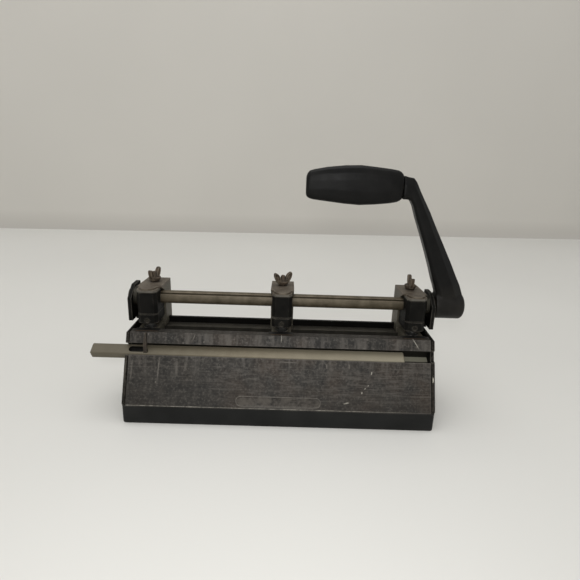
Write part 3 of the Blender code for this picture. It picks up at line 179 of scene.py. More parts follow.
wall_corners += [(x, y, WALL_HEIGHT) for x, y in reversed(wall_foot)]
room_sheet("wall", wall_corners, WALL_COLOUR, WALL_FOOT_SHADE)

sky = bpy.data.worlds.new("sky")
sky.use_nodes = True
sky.node_tree.nodes["Background"].inputs["Color"].default_value = (*SKY_COLOUR, 1)
sky.node_tree.nodes["Background"].inputs["Strength"].default_value = SKY_STRENGTH
bpy.context.scene.world = sky


def hang_light(name, place, aim, size, power):
    light = bpy.data.objects.new(name, bpy.data.lights.new(name, "AREA"))
    light.data.size = size
    light.data.energy = power
    light.location = place
    light.rotation_euler = (Vector(aim) - Vector(place)).to_track_quat("-Z", "Y").to_euler()
    bpy.context.scene.collection.objects.link(light)


below_ceiling = (*CEILING_LIGHT_PLACE[:2], 0)
hang_light("ceiling_light", CEILING_LIGHT_PLACE, below_ceiling, CEILING_LIGHT_SIZE, CEILING_LIGHT_POWER)
hang_light("front_lamp", LAMP_PLACE, LAMP_AIM, LAMP_SIZE, LAMP_POWER)


# The chip tray is a deep pan of black enamelled steel that the whole punch stands on. It is pressed
# in one piece, with a small round at its foot, and its enamel is rubbed through at the corners.
TRAY_ENAMEL = (0.0055, 0.0058, 0.0055)
TRAY_ENAMEL_FADED = (0.0125, 0.0128, 0.0122)
TRAY_SHEEN = 0.19
TRAY_ROUGHNESS = (0.48, 0.62)
TRAY_BARE = (0.13, 0.12, 0.105)
TRAY_DUST = (0.045, 0.042, 0.037)
TRAY_EDGE = 0.0006
MERGE_WITHIN = 0.00001
FLAT_WITHIN = radians(0.6)
SHARP_FROM = radians(30)
EDGE_STEPS = 2
SHADE_SAMPLES = 6


def new_group(name, inputs, outputs):
    """An empty shader node group with named inputs and outputs."""
    group = bpy.data.node_groups.new(name, "ShaderNodeTree")
    for label, value in inputs:
        kind = "NodeSocketVector" if isinstance(value, tuple) else "NodeSocketFloat"
        socket = group.interface.new_socket(label, in_out="INPUT", socket_type=kind)
        socket.default_value = value
    for label in outputs:
        group.interface.new_socket(label, in_out="OUTPUT", socket_type="NodeSocketFloat")
    return group, group.nodes.new("NodeGroupInput").outputs, group.nodes.new("NodeGroupOutput")


def arithmetic(tree, operation, first, second=0.0):
    made = tree.nodes.new("ShaderNodeMath")
    made.operation = operation
    for socket, value in zip(made.inputs, (first, second)):
        if isinstance(value, bpy.types.NodeSocket):
            tree.links.new(value, socket)
        else:
            socket.default_value = value
    return made.outputs[0]


def times(tree, first, second):
    return arithmetic(tree, "MULTIPLY", first, second)


def stretched(tree, value, low, high, to_low=0.0, to_high=1.0):
    """A value's span from low to high, stretched to another span and held inside it."""
    inputs = {"Value": value, "From Min": low, "From Max": high, "To Min": to_low, "To Max": to_high}
    return add(tree, "ShaderNodeMapRange", inputs).outputs["Result"]


def noise(tree, coords, size, detail=4.0, roughness=0.55):
    scale = arithmetic(tree, "DIVIDE", 1.0, size)
    inputs = {"Vector": coords, "Scale": scale, "Detail": detail, "Roughness": roughness}
    return add(tree, "ShaderNodeTexNoise", inputs).outputs["Fac"]


def make_age_group():
    """What age does to a surface: patches, grain, wear on outer edges, and grime with painted shade in
    corners and under other parts, from 0 to 1.
    """
    inputs = (("Patch Size", 0.02), ("Grain Size", 0.0008), ("Wear Width", 0.0012), ("Dirt And Shade Reach", 0.004))
    tree, given, result = new_group("age", inputs, ("Patches", "Grain", "Wear", "Dirt And Shade"))
    coords = add(tree, "ShaderNodeTexCoord").outputs["Object"]
    patches = stretched(tree, noise(tree, coords, given["Patch Size"]), 0.34, 0.66)
    grain = stretched(tree, noise(tree, coords, given["Grain Size"], 3.0, 0.7), 0.30, 0.70)
    inner = add(tree, "ShaderNodeAmbientOcclusion", {"Distance": given["Wear Width"]}, inside=True)
    inner.samples, inner.only_local = SHADE_SAMPLES, True
    edge = arithmetic(tree, "SUBTRACT", 1.0, inner.outputs["AO"])
    ragged = times(tree, arithmetic(tree, "ADD", patches, grain), 0.22)
    wear = stretched(tree, arithmetic(tree, "ADD", edge, ragged), 0.42, 0.72)
    # Painted shade as well as grime: this mask grows where a spot is closed in by its own corners and by
    # other parts close to it.
    outer = add(tree, "ShaderNodeAmbientOcclusion", {"Distance": given["Dirt And Shade Reach"]})
    outer.samples = SHADE_SAMPLES
    corner = arithmetic(tree, "SUBTRACT", 1.0, outer.outputs["AO"])
    corner = times(tree, corner, stretched(tree, patches, 0, 1, 0.7, 1.2))
    dirt_and_shade = stretched(tree, corner, 0.2, 0.9)
    for name, value in (("Patches", patches), ("Grain", grain), ("Wear", wear), ("Dirt And Shade", dirt_and_shade)):
        tree.links.new(value, result.inputs[name])
    return tree


age_group = make_age_group()


def aged(tree, patch_size, grain_size, wear_width, dirt_and_shade_reach):
    """The age group placed in a material with its own values."""
    values = {"Patch Size": patch_size, "Grain Size": grain_size}
    values |= {"Wear Width": wear_width, "Dirt And Shade Reach": dirt_and_shade_reach}
    placed = add(tree, "ShaderNodeGroup", node_tree=age_group)
    for name, value in values.items():
        placed.inputs[name].default_value = value
    return placed.outputs


def bumped(tree, shader, height, distance, strength=0.6):
    inputs = {"Height": height, "Distance": distance, "Strength": strength}
    tree.links.new(add(tree, "ShaderNodeBump", inputs).outputs["Normal"], shader.inputs["Normal"])


def tray_finish():
    """Thin black enamel, faded in patches, dusty in its corners, and bare where it has been knocked."""
    made, tree, shader = new_finish("tray_enamel")
    age = aged(tree, 0.03, 0.0007, 0.0009, 0.006)
    paint = mixed(tree, age["Patches"], TRAY_ENAMEL, TRAY_ENAMEL_FADED)
    paint = mixed(tree, times(tree, age["Dirt And Shade"], 0.35), paint, TRAY_DUST)
    paint = mixed(tree, times(tree, age["Wear"], 0.35), paint, TRAY_BARE)
    tree.links.new(paint, shader.inputs["Base Color"])
    tree.links.new(stretched(tree, age["Patches"], 0, 1, *TRAY_ROUGHNESS), shader.inputs["Roughness"])
    shader.inputs["Specular IOR Level"].default_value = TRAY_SHEEN
    bumped(tree, shader, age["Grain"], 0.00008)
    return made


def shown(name, bm, finish, body, slot, *nodes):
    """A finished piece of the punch that rides on a body and stands for some of its solids."""
    mesh = bpy.data.meshes.new(name)
    bm.to_mesh(mesh)
    bm.free()
    mesh.shade_smooth()
    mesh.set_sharp_from_angle(angle=SHARP_FROM)
    mesh.materials.append(finish)
    piece = bpy.data.objects.new(name, mesh)
    bpy.context.scene.collection.objects.link(piece)
    flatter = piece.modifiers.new("flat_faces", "WEIGHTED_NORMAL")
    flatter.weight = 100
    flatter.keep_sharp = True
    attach(piece, body)
    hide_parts(*nodes)
    return piece


def solid_copy(node):
    """A solid's mesh with its loose triangles joined into whole flat faces."""
    bm = bmesh.new()
    bm.from_mesh(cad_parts[node].data)
    bmesh.ops.remove_doubles(bm, verts=bm.verts, dist=MERGE_WITHIN)
    bmesh.ops.dissolve_limit(bm, angle_limit=FLAT_WITHIN, verts=bm.verts, edges=bm.edges)
    return bm


def round_edges(bm, width):
    sharp = [edge for edge in bm.edges if edge.is_manifold and edge.calc_face_angle() > SHARP_FROM]
    bmesh.ops.bevel(bm, geom=sharp, offset=width, segments=EDGE_STEPS, affect="EDGES", clamp_overlap=True)


def dressed(node, finish, body, slot, edge):
    """A solid carried over with its edges rounded."""
    bm = solid_copy(node)
    round_edges(bm, edge)
    return shown(f"{node}_worn", bm, finish, body, slot, node)


dressed("chip_tray", tray_finish(), "tray", "tray_black", TRAY_EDGE)


# The side frames are two flat end plates of the body, cast iron under black enamel, screwed to the
# ends of the front and rear slopes. Hands and desks have rubbed the enamel off their outer edges.
FRAME_ENAMEL = (0.0036, 0.0035, 0.0031)
FRAME_ENAMEL_FADED = (0.0085, 0.0080, 0.0068)
FRAME_SHEEN = 0.07
FRAME_ROUGHNESS = (0.45, 0.65)
FRAME_BARE = (0.17, 0.155, 0.13)
FRAME_DIRT = (0.012, 0.011, 0.009)
FRAME_EDGE = 0.0004
FRAME_SCOURED = (0.050, 0.044, 0.036)
FRAME_CHIP = (0.50, 0.47, 0.40)
SCOUR_SIZE = 0.0022
RAGGED_SIZE = 0.0012
# Each mark's place across and up, half its length and width, its lean from upright and its strength
FRAME_MARKS = (
    (0.1219, 0.0397, 0.0020, 0.0006, 0.00, 0.80),
    (-0.1222, 0.0415, 0.0090, 0.0006, 0.03, 0.35),
)


def black_enamel(name, worn_share):
    """Old black enamel over iron, with a share of bare metal showing along its edges."""
    made, tree, shader = new_finish(name)
    age = aged(tree, 0.012, 0.0006, 0.0010, 0.004)
    paint = mixed(tree, age["Patches"], FRAME_ENAMEL, FRAME_ENAMEL_FADED)
    paint = mixed(tree, times(tree, age["Dirt And Shade"], 0.4), paint, FRAME_DIRT)
    paint = mixed(tree, times(tree, age["Wear"], worn_share), paint, FRAME_BARE)
    tree.links.new(paint, shader.inputs["Base Color"])
    tree.links.new(stretched(tree, age["Grain"], 0, 1, *FRAME_ROUGHNESS), shader.inputs["Roughness"])
    shader.inputs["Specular IOR Level"].default_value = FRAME_SHEEN
    bumped(tree, shader, age["Grain"], 0.00012)
    return made


def make_mark_group():
    """One scuff: a narrow ragged patch at a place, leaning from upright, from 0 to 1."""
    inputs = (("Place", (0.0, 0.0, 0.0)), ("Half Length", 0.004), ("Half Width", 0.0006), ("Lean", 0.0))
    inputs += (("Ragged", 0.0),)
    tree, given, result = new_group("scuff_mark", inputs, ("Mark",))
    coords = add(tree, "ShaderNodeTexCoord").outputs["Object"]
    off = add(tree, "ShaderNodeVectorMath", {0: coords, 1: given["Place"]}, operation="SUBTRACT")
    leant = add(tree, "ShaderNodeVectorRotate", {"Vector": off.outputs[0], "Angle": given["Lean"]})
    leant.rotation_type = "Y_AXIS"
    leant.invert = True
    parts = add(tree, "ShaderNodeSeparateXYZ", {"Vector": leant.outputs[0]}).outputs
    across = arithmetic(tree, "DIVIDE", arithmetic(tree, "ABSOLUTE", parts["X"]), given["Half Width"])
    along = arithmetic(tree, "DIVIDE", arithmetic(tree, "ABSOLUTE", parts["Z"]), given["Half Length"])
    away = arithmetic(tree, "MAXIMUM", across, along)
    mark = stretched(tree, arithmetic(tree, "ADD", away, given["Ragged"]), 1.9, 1.2)
    tree.links.new(mark, result.inputs["Mark"])
    return tree


mark_group = make_mark_group()


def scuffed(tree, paint, marks, chip, scratch):
    """Lays scuffs over a colour: place across and up, half length and width, lean, strength."""
    coords = add(tree, "ShaderNodeTexCoord").outputs["Object"]
    ragged = times(tree, noise(tree, coords, RAGGED_SIZE, 4.0, 0.7), 1.6)
    for x, z, half_length, half_width, lean, strength in marks:
        placed = add(tree, "ShaderNodeGroup", {"Ragged": ragged}, node_tree=mark_group)
        placed.inputs["Place"].default_value = (x, 0, z)
        placed.inputs["Half Length"].default_value = half_length
        placed.inputs["Half Width"].default_value = half_width
        placed.inputs["Lean"].default_value = lean
        share = times(tree, placed.outputs["Mark"], strength)
        paint = mixed(tree, share, paint, chip if strength > 0.6 else scratch)
    return paint


def recoloured(finish, share, colour):
    """Lays a colour over what a finish has already, by a share worked out in its tree."""
    tree = finish.node_tree
    base = tree.nodes["Principled BSDF"].inputs["Base Color"]
    tree.links.new(mixed(tree, share, base.links[0].from_socket, colour), base)


def frame_finish():
    """Black enamel, scoured brown and chipped where the frames' edges face the front."""
    made = black_enamel("frame_enamel", 0.6)
    tree = made.node_tree
    texture = add(tree, "ShaderNodeTexCoord").outputs
    forward = add(tree, "ShaderNodeSeparateXYZ", {"Vector": texture["Normal"]}).outputs["Y"]
    patches = stretched(tree, noise(tree, texture["Object"], SCOUR_SIZE, 4.0, 0.65), 0.36, 0.66, 0.0, 0.8)
    front = stretched(tree, forward, -0.5, -0.8)
    recoloured(made, times(tree, front, patches), FRAME_SCOURED)
    base = tree.nodes["Principled BSDF"].inputs["Base Color"]
    paint = base.links[0].from_socket
    tree.links.new(scuffed(tree, paint, FRAME_MARKS, FRAME_CHIP, FRAME_BARE), base)
    return made


frame_enamel = frame_finish()
for side in ("left", "right"):
    dressed(f"side_frame_{side}", frame_enamel, "base", "painted_black", FRAME_EDGE)


# The front slope is one heavy plate with the flat rim that the paper lies on. Its thin dark paint has
# been scoured by paper and sleeves until iron shows through in streaks, chips and long fine scratches.
SLOPE_PAINT = (0.0095, 0.0088, 0.0075)
SLOPE_PAINT_WORN = (0.036, 0.032, 0.027)
SLOPE_BROWN = (0.045, 0.031, 0.021)
SLOPE_SCRATCH = (0.16, 0.145, 0.125)
SLOPE_SMEAR = (0.105, 0.095, 0.083)
SLOPE_CHIP = (0.36, 0.34, 0.29)
SLOPE_DIRT_AND_SHADE = (0.014, 0.012, 0.0095)
SLOPE_EDGE = 0.0003
SLOPE_SHEEN = 0.3
SLOPE_ROUGHNESS = (0.66, 0.50)
SLOPE_FOOT = (-0.0420, 0.0155)
SLOPE_TOP = (-0.0190, 0.0684)
SLOPE_LEAN = (SLOPE_TOP[0] - SLOPE_FOOT[0]) / (SLOPE_TOP[1] - SLOPE_FOOT[1])
STREAK_SIZE = (0.045, 0.0007, 0.0007)
SMEAR_SIZE = (0.004, 0.03, 0.03)
BLOTCH_SIZE = 0.008
BROWN_SIZE = 0.024
SPECKLE_SIZE = 0.0020
RIPPLE_SIZE = (0.012, 0.0020, 0.0020)
RUBBED_SIZE = 0.05
FOOT_BREAK_SIZE = 0.006
# Heights between which each kind of wear shows, and how softly it ends
STREAK_BAND = (0.020, 0.050, 0.008)
RIPPLE_BAND = (0.022, 0.049, 0.004)
SMEAR_BAND = (0.040, 0.074, 0.010)
FOOT_BAND = (SLOPE_FOOT[1] - 0.001, SLOPE_FOOT[1] + 0.0006, 0.0002)
PANEL_FILL = (0.070, 0.061, 0.050)
GROOVE_HEIGHTS = (0.0488, 0.0612)
GROOVE_FLOOR_FACING = (0, -0.5, 0.866)
GROOVE_FLOOR_STEEL_AND_LIGHT = (0.27, 0.26, 0.20)
GROOVE_PAINTED_SHADE = (0.008, 0.007, 0.005)
PANEL_CENTRE = (-0.0007, 0.0209)
PANEL_HALF = (0.0333, 0.0033)
PANEL_HELD = (0.0166, 0.0253)
PANEL_RIM = 0.0005
# Each mark's place across and up, half its length and width, its lean from upright and its strength
SLOPE_MARKS = (
    (-0.1174, 0.0405, 0.0085, 0.0008, 0.03, 0.40),
    (-0.0962, 0.0420, 0.0092, 0.0006, 0.05, 0.55),
    (-0.0976, 0.0327, 0.0008, 0.0007, 0.00, 0.58),
    (-0.0750, 0.0445, 0.0036, 0.0012, 0.00, 0.35),
    (-0.0818, 0.0430, 0.0060, 0.0010, 0.00, 0.35),
    (0.0004, 0.0666, 0.0028, 0.0003, 0.00, 0.62),
    (0.0072, 0.0494, 0.0070, 0.0005, 1.57, 0.45),
    (0.0728, 0.0433, 0.0014, 0.0005, 0.19, 0.80),
    (0.0653, 0.0291, 0.0007, 0.0005, 0.00, 0.95),
    (0.0677, 0.0321, 0.0008, 0.0004, 0.80, 0.75),
    (0.0702, 0.0343, 0.0007, 0.0004, 1.10, 0.70),
    (0.0532, 0.0215, 0.0024, 0.0006, 1.30, 0.70),
    (0.0369, 0.0474, 0.0020, 0.0007, 0.00, 0.55),
    (0.0550, 0.0478, 0.0018, 0.0007, 0.00, 0.55),
    (0.0690, 0.0674, 0.0006, 0.0006, 0.00, 0.55),
    (0.1082, 0.0655, 0.0044, 0.0004, -0.60, 0.70),
    (0.1206, 0.0495, 0.0155, 0.0005, 0.00, 0.40),
    (0.1209, 0.0397, 0.0014, 0.0005, 0.00, 0.85),
    (-0.1088, 0.0669, 0.0012, 0.0007, 0.00, 0.60),
    (-0.1056, 0.0670, 0.0012, 0.0007, 0.00, 0.60),
    (-0.0693, 0.0658, 0.0024, 0.0005, 0.37, 0.58),
    (-0.0778, 0.0612, 0.0006, 0.0006, 0.00, 0.55),
    (-0.0612, 0.0624, 0.0006, 0.0006, 0.00, 0.55),
)


def squeezed_noise(tree, coords, sizes, detail=4.0):
    """Noise drawn out along an axis, from its size along each."""
    scale = tuple(1 / size for size in sizes)
    placed = add(tree, "ShaderNodeMapping", {"Vector": coords, "Scale": scale}).outputs["Vector"]
    inputs = {"Vector": placed, "Scale": 1.0, "Detail": detail}
    return add(tree, "ShaderNodeTexNoise", inputs).outputs["Fac"]


def band(tree, value, low, high, soft):
    """One between two values, falling softly to nought outside them."""
    rise = stretched(tree, value, low - soft, low + soft)
    fall = stretched(tree, value, high + soft, high - soft)
    return times(tree, rise, fall)


def panel_shares(tree, across, height):
    """How far a spot is on the round-ended border of the bare panel, and how far inside it."""
    straight = PANEL_HALF[0] - PANEL_HALF[1]
    side = arithmetic(tree, "ABSOLUTE", arithmetic(tree, "SUBTRACT", across, PANEL_CENTRE[0]))
    past = arithmetic(tree, "MAXIMUM", arithmetic(tree, "SUBTRACT", side, straight), 0.0)
    up = arithmetic(tree, "SUBTRACT", height, PANEL_CENTRE[1])
    squares = [times(tree, value, value) for value in (past, up)]
    reach = arithmetic(tree, "SQRT", arithmetic(tree, "ADD", *squares))
    past = arithmetic(tree, "SUBTRACT", reach, PANEL_HALF[1])
    rim = stretched(tree, arithmetic(tree, "ABSOLUTE", past), PANEL_RIM, PANEL_RIM / 3)
    return rim, stretched(tree, past, 0.0, -PANEL_RIM)


def slope_finish():
    """Scoured dark paint, speckled and smeared, with scratches, chips, a bare foot, and a groove painted
    black as shade with its up-facing floor painted pale as lit steel.
    """
    made, tree, shader = new_finish("scoured_paint")
    age = aged(tree, 0.016, 0.0006, 0.0009, 0.003)
    coords, (across, depth, height) = shaded_spot(tree)

    blotches = stretched(tree, noise(tree, coords, BLOTCH_SIZE, 5.0, 0.65), 0.36, 0.64)
    paint = mixed(tree, blotches, SLOPE_PAINT, SLOPE_PAINT_WORN)
    brown = stretched(tree, noise(tree, coords, BROWN_SIZE, 2.0), 0.44, 0.70, 0.0, 0.7)
    brown = times(tree, brown, stretched(tree, across, -0.10, -0.02, 0.25, 1.0))
    paint = mixed(tree, brown, paint, SLOPE_BROWN)
    specks = noise(tree, coords, SPECKLE_SIZE, 3.0, 0.7)
    paint = mixed(tree, stretched(tree, specks, 0.52, 0.76, 0.0, 0.42), paint, SLOPE_SCRATCH)
    paint = mixed(tree, stretched(tree, specks, 0.47, 0.30, 0.0, 0.75), paint, SLOPE_DIRT_AND_SHADE)

    streaks = stretched(tree, squeezed_noise(tree, coords, STREAK_SIZE, 5.0), 0.52, 0.70)
    rubbed = stretched(tree, noise(tree, coords, RUBBED_SIZE, 3.0), 0.40, 0.62, 0.1, 0.38)
    middle = band(tree, height, *STREAK_BAND)
    streaks = times(tree, times(tree, streaks, rubbed), middle)
    paint = mixed(tree, streaks, paint, SLOPE_SCRATCH)
    ripples = stretched(tree, squeezed_noise(tree, coords, RIPPLE_SIZE, 2.0), 0.50, 0.72, 0.0, 0.55)
    lower = times(tree, band(tree, height, *RIPPLE_BAND), stretched(tree, across, -0.078, -0.045))
    paint = mixed(tree, times(tree, ripples, lower), paint, SLOPE_SMEAR)
    smears = stretched(tree, squeezed_noise(tree, coords, SMEAR_SIZE, 3.0), 0.48, 0.72, 0.0, 0.70)
    below_bar = band(tree, height, *SMEAR_BAND)
    paint = mixed(tree, times(tree, smears, below_bar), paint, SLOPE_SMEAR)

    # Darker toward the foot of the slope, and along the flat rim behind its top edge.
    paint = mixed(tree, stretched(tree, height, 0.014, 0.058, 0.42, 0.0), paint, SLOPE_DIRT_AND_SHADE)
    rim_top = stretched(tree, depth, SLOPE_TOP[0], SLOPE_TOP[0] + 0.0004, 0.0, 0.6)
    paint = mixed(tree, rim_top, paint, SLOPE_DIRT_AND_SHADE)
    # Painted shade: darker in the plate's corners and where other parts stand close over it.
    paint = mixed(tree, times(tree, age["Dirt And Shade"], 0.6), paint, SLOPE_DIRT_AND_SHADE)
    paint = mixed(tree, times(tree, age["Wear"], 0.30), paint, SLOPE_SCRATCH)
    foot = band(tree, height, *FOOT_BAND)
    broken = stretched(tree, noise(tree, coords, FOOT_BREAK_SIZE, 5.0, 0.75), 0.42, 0.66, 0.12, 0.75)
    whole = stretched(tree, across, 0.105, 0.060)
    foot = times(tree, times(tree, foot, broken), whole)
    paint = mixed(tree, foot, paint, SLOPE_CHIP)
    rim, fill = panel_shares(tree, across, height)
    paint = mixed(tree, times(tree, fill, blotches), paint, PANEL_FILL)
    rim = times(tree, rim, stretched(tree, specks, 0.3, 0.6, 0.2, 0.6))
    paint = mixed(tree, rim, paint, SLOPE_SCRATCH)

    paint = scuffed(tree, paint, SLOPE_MARKS, SLOPE_CHIP, SLOPE_SCRATCH)
    # Painted shade: the groove under the slope's overhang is painted black, and its up-facing floor is bare
    # steel painted paler to stand for the light on it.
    surface = times(tree, arithmetic(tree, "SUBTRACT", height, SLOPE_FOOT[1]), SLOPE_LEAN)
    inside = arithmetic(tree, "SUBTRACT", arithmetic(tree, "SUBTRACT", depth, SLOPE_FOOT[0]), surface)
    groove_shade = stretched(tree, inside, 0.0004, 0.0010)
    groove_shade = times(tree, groove_shade, band(tree, height, *GROOVE_HEIGHTS, 0.0002))
    paint = mixed(tree, groove_shade, paint, GROOVE_PAINTED_SHADE)
    normal = add(tree, "ShaderNodeTexCoord").outputs["Normal"]
    facing = add(tree, "ShaderNodeVectorMath", {0: normal, 1: GROOVE_FLOOR_FACING}, operation="DOT_PRODUCT")
    lit_floor = times(tree, groove_shade, stretched(tree, facing.outputs["Value"], 0.93, 0.97))
    paint = mixed(tree, lit_floor, paint, GROOVE_FLOOR_STEEL_AND_LIGHT)
    tree.links.new(paint, shader.inputs["Base Color"])
    tree.links.new(stretched(tree, specks, 0.3, 0.7, *SLOPE_ROUGHNESS), shader.inputs["Roughness"])
    shader.inputs["Specular IOR Level"].default_value = SLOPE_SHEEN
    bumped(tree, shader, arithmetic(tree, "SUBTRACT", specks, streaks), 0.00012)
    return made


def slope_plate():
    """The front plate, its shallow panel drawn in to the height that the worn border shows."""
    bm = solid_copy("front_apron")
    middle = sum(PANEL_HELD) / 2
    narrow = 2 * PANEL_HALF[1] / (PANEL_HELD[1] - PANEL_HELD[0])
    for vert in bm.verts:
        x, y, z = vert.co
        inside = y - SLOPE_FOOT[0] - (z - SLOPE_FOOT[1]) * SLOPE_LEAN
        held = PANEL_HELD[0] < z < PANEL_HELD[1] and abs(x) < PANEL_HALF[0] + 0.002 and inside < 0.001
        if held:
            shift = PANEL_CENTRE[1] + (z - middle) * narrow - z
            vert.co += Vector((0, SLOPE_LEAN, 1)) * shift
    round_edges(bm, SLOPE_EDGE)
    return bm


shown("front_apron_worn", slope_plate(), slope_finish(), "base", "worn_paint", "front_apron")


# The rear slope and the channel's floor are plain plates of the same black enamel, darker and oilier
# where no sleeve reaches them. Punched chips fall through the floor's three slots into the tray.
PLATE_EDGE = 0.0003
OILY_BLACK = (0.0035, 0.0032, 0.0026)
OILY_DUST = (0.022, 0.019, 0.015)
OILY_ROUGHNESS = (0.35, 0.6)


def oily_enamel():
    """Black enamel kept dark by oil, with dust held in its corners."""
    made, tree, shader = new_finish("oily_enamel")
    age = aged(tree, 0.010, 0.0009, 0.0008, 0.005)
    paint = mixed(tree, age["Patches"], OILY_BLACK, FRAME_ENAMEL)
    paint = mixed(tree, times(tree, age["Dirt And Shade"], 0.15), paint, OILY_DUST)
    tree.links.new(paint, shader.inputs["Base Color"])
    tree.links.new(stretched(tree, age["Patches"], 0, 1, *OILY_ROUGHNESS), shader.inputs["Roughness"])
    shader.inputs["Specular IOR Level"].default_value = FRAME_SHEEN
    bumped(tree, shader, age["Grain"], 0.00004)
    return made


channel_enamel = oily_enamel()
dressed("rear_panel", channel_enamel, "base", "painted_black", PLATE_EDGE)
dressed("bed_plate", channel_enamel, "base", "painted_black", PLATE_EDGE)


# The rail is a planed steel bar of T section, screwed down in the channel. The heads hook under it
# and are clamped on its top, so its top is scuffed and its sides keep a film of dark oil, deepened
# with painted shade down in the channel.
RAIL_STEEL = (0.050, 0.047, 0.038)
RAIL_STEEL_RUBBED = (0.10, 0.090, 0.072)
RAIL_OIL_AND_SHADE = (0.008, 0.007, 0.005)
RAIL_EDGE = 0.0003


def oiled_steel(name, dull, rubbed, oil_and_shade, roughness, metallic=0.75, dirt_and_shade=0.7):
    """Bare steel gone dull: brighter where it is rubbed, with oil in its grain, and darker in its corners
    and against other parts with oil and painted shade.
    """
    made, tree, shader = new_finish(name)
    age = aged(tree, 0.008, 0.0005, 0.0008, 0.004)
    steel = mixed(tree, age["Patches"], dull, [(a + b) / 2 for a, b in zip(dull, rubbed)])
    steel = mixed(tree, times(tree, age["Grain"], 0.3), steel, oil_and_shade)
    # Painted shade: the oil colour laid into corners and against nearby parts.
    steel = mixed(tree, times(tree, age["Dirt And Shade"], dirt_and_shade), steel, oil_and_shade)
    steel = mixed(tree, times(tree, age["Wear"], 0.8), steel, rubbed)
    tree.links.new(steel, shader.inputs["Base Color"])
    low, high = roughness
    tree.links.new(stretched(tree, age["Grain"], 0, 1, low, high), shader.inputs["Roughness"])
    shader.inputs["Metallic"].default_value = metallic
    bumped(tree, shader, age["Grain"], 0.00008)
    return made


rail_steel = oiled_steel("rail_steel", RAIL_STEEL, RAIL_STEEL_RUBBED, RAIL_OIL_AND_SHADE, (0.35, 0.6))
dressed("rail", rail_steel, "base", "head_steel", RAIL_EDGE)


# Slotted steel screws hold the body together: four through each end plate, and two that come up
# through the channel's floor into the rail. They are blued, and brightened on the edges of the slots.
SCREW_DULL = (0.0080, 0.0075, 0.0064)
SCREW_BRIGHT = (0.055, 0.050, 0.041)
SCREW_OIL_AND_SHADE = (0.006, 0.005, 0.004)
SCREW_EDGE = 0.00015
SCREW_STEPS = 24
SCREW_SEED = 7
# Shares of a screw's head radius
SHANK_SHARE = 0.48
HEAD_HEIGHT_SHARE = 0.56
SLOT_WIDTH_SHARE = 0.23
SLOT_DEPTH_SHARE = 0.28
BASE_SCREWS = ("apron_screw", "rear_screw", "bed_screw")
SCREW_SHEEN = 0.08


def make_screw_tree():
    """Geometry nodes that put a screw on each point, its head outward and its slot turned at random."""
    tree = bpy.data.node_groups.new("slotted_screws", "GeometryNodeTree")
    tree.interface.new_socket("Points", in_out="INPUT", socket_type="NodeSocketGeometry")
    for label in ("Length", "Radius", "Head Radius", "Head Height", "Slot Width", "Slot Depth"):
        tree.interface.new_socket(label, in_out="INPUT", socket_type="NodeSocketFloat")
    tree.interface.new_socket("Seed", in_out="INPUT", socket_type="NodeSocketInt")
    tree.interface.new_socket("Finish", in_out="INPUT", socket_type="NodeSocketMaterial")
    tree.interface.new_socket("Screws", in_out="OUTPUT", socket_type="NodeSocketGeometry")
    given = tree.nodes.new("NodeGroupInput").outputs

    def cylinder(radius, length, centre):
        sizes = {"Vertices": SCREW_STEPS, "Radius": radius, "Depth": length}
        barrel = add(tree, "GeometryNodeMeshCylinder", sizes).outputs["Mesh"]
        shift = add(tree, "ShaderNodeCombineXYZ", {"Z": centre}).outputs["Vector"]
        moved = add(tree, "GeometryNodeTransform", {"Geometry": barrel, "Translation": shift})
        return moved.outputs["Geometry"]

    head = cylinder(given["Head Radius"], given["Head Height"], times(tree, given["Head Height"], -0.5))
    inside = times(tree, given["Head Height"], 0.75)
    shank_length = arithmetic(tree, "SUBTRACT", given["Length"], inside)
    middle = times(tree, arithmetic(tree, "ADD", given["Length"], inside), -0.5)
    shank = cylinder(given["Radius"], shank_length, middle)
    joined = add(tree, "GeometryNodeMeshBoolean", {"Mesh 2": head}, operation="UNION")
    tree.links.new(shank, joined.inputs["Mesh 2"])
    cut = {"X": given["Slot Width"], "Y": times(tree, given["Head Radius"], 3.0)}
    cut["Z"] = times(tree, given["Slot Depth"], 2.0)
    size = add(tree, "ShaderNodeCombineXYZ", cut).outputs["Vector"]
    saw = add(tree, "GeometryNodeMeshCube", {"Size": size}).outputs["Mesh"]
    sawn = {"Mesh 1": joined.outputs["Mesh"], "Mesh 2": saw}
    slotted = add(tree, "GeometryNodeMeshBoolean", sawn, operation="DIFFERENCE").outputs["Mesh"]

    facing = add(tree, "GeometryNodeInputNamedAttribute", {"Name": "facing"}, data_type="FLOAT_VECTOR")
    way = facing.outputs["Attribute"]
    upright = add(tree, "FunctionNodeAlignRotationToVector", {"Vector": way}, axis="Z").outputs["Rotation"]
    placed = {"Points": given["Points"], "Instance": slotted, "Rotation": upright}
    screws = add(tree, "GeometryNodeInstanceOnPoints", placed).outputs["Instances"]
    chance = add(tree, "FunctionNodeRandomValue", {2: 0.0, 3: pi, "Seed": given["Seed"]}, data_type="FLOAT")
    spin = add(tree, "ShaderNodeCombineXYZ", {"Z": chance.outputs[1]}).outputs["Vector"]
    spin = add(tree, "FunctionNodeEulerToRotation", {"Euler": spin}).outputs["Rotation"]
    turned = add(tree, "GeometryNodeRotateInstances", {"Instances": screws, "Rotation": spin})
    turned = turned.outputs["Instances"]
    real = add(tree, "GeometryNodeRealizeInstances", {"Geometry": turned}).outputs["Geometry"]
    coated = add(tree, "GeometryNodeSetMaterial", {"Geometry": real, "Material": given["Finish"]})
    end = tree.nodes.new("NodeGroupOutput")
    tree.links.new(coated.outputs["Geometry"], end.inputs["Screws"])
    return tree


screw_tree = make_screw_tree()


def evaluated_mesh(holder):
    """The mesh that an object's modifiers make, with the object itself cleared away."""
    view = bpy.context.evaluated_depsgraph_get()
    mesh = bpy.data.meshes.new_from_object(holder.evaluated_get(view))
    holder.modifiers.clear()
    bpy.data.objects.remove(holder)
    bm = bmesh.new()
    bm.from_mesh(mesh)
    return bm


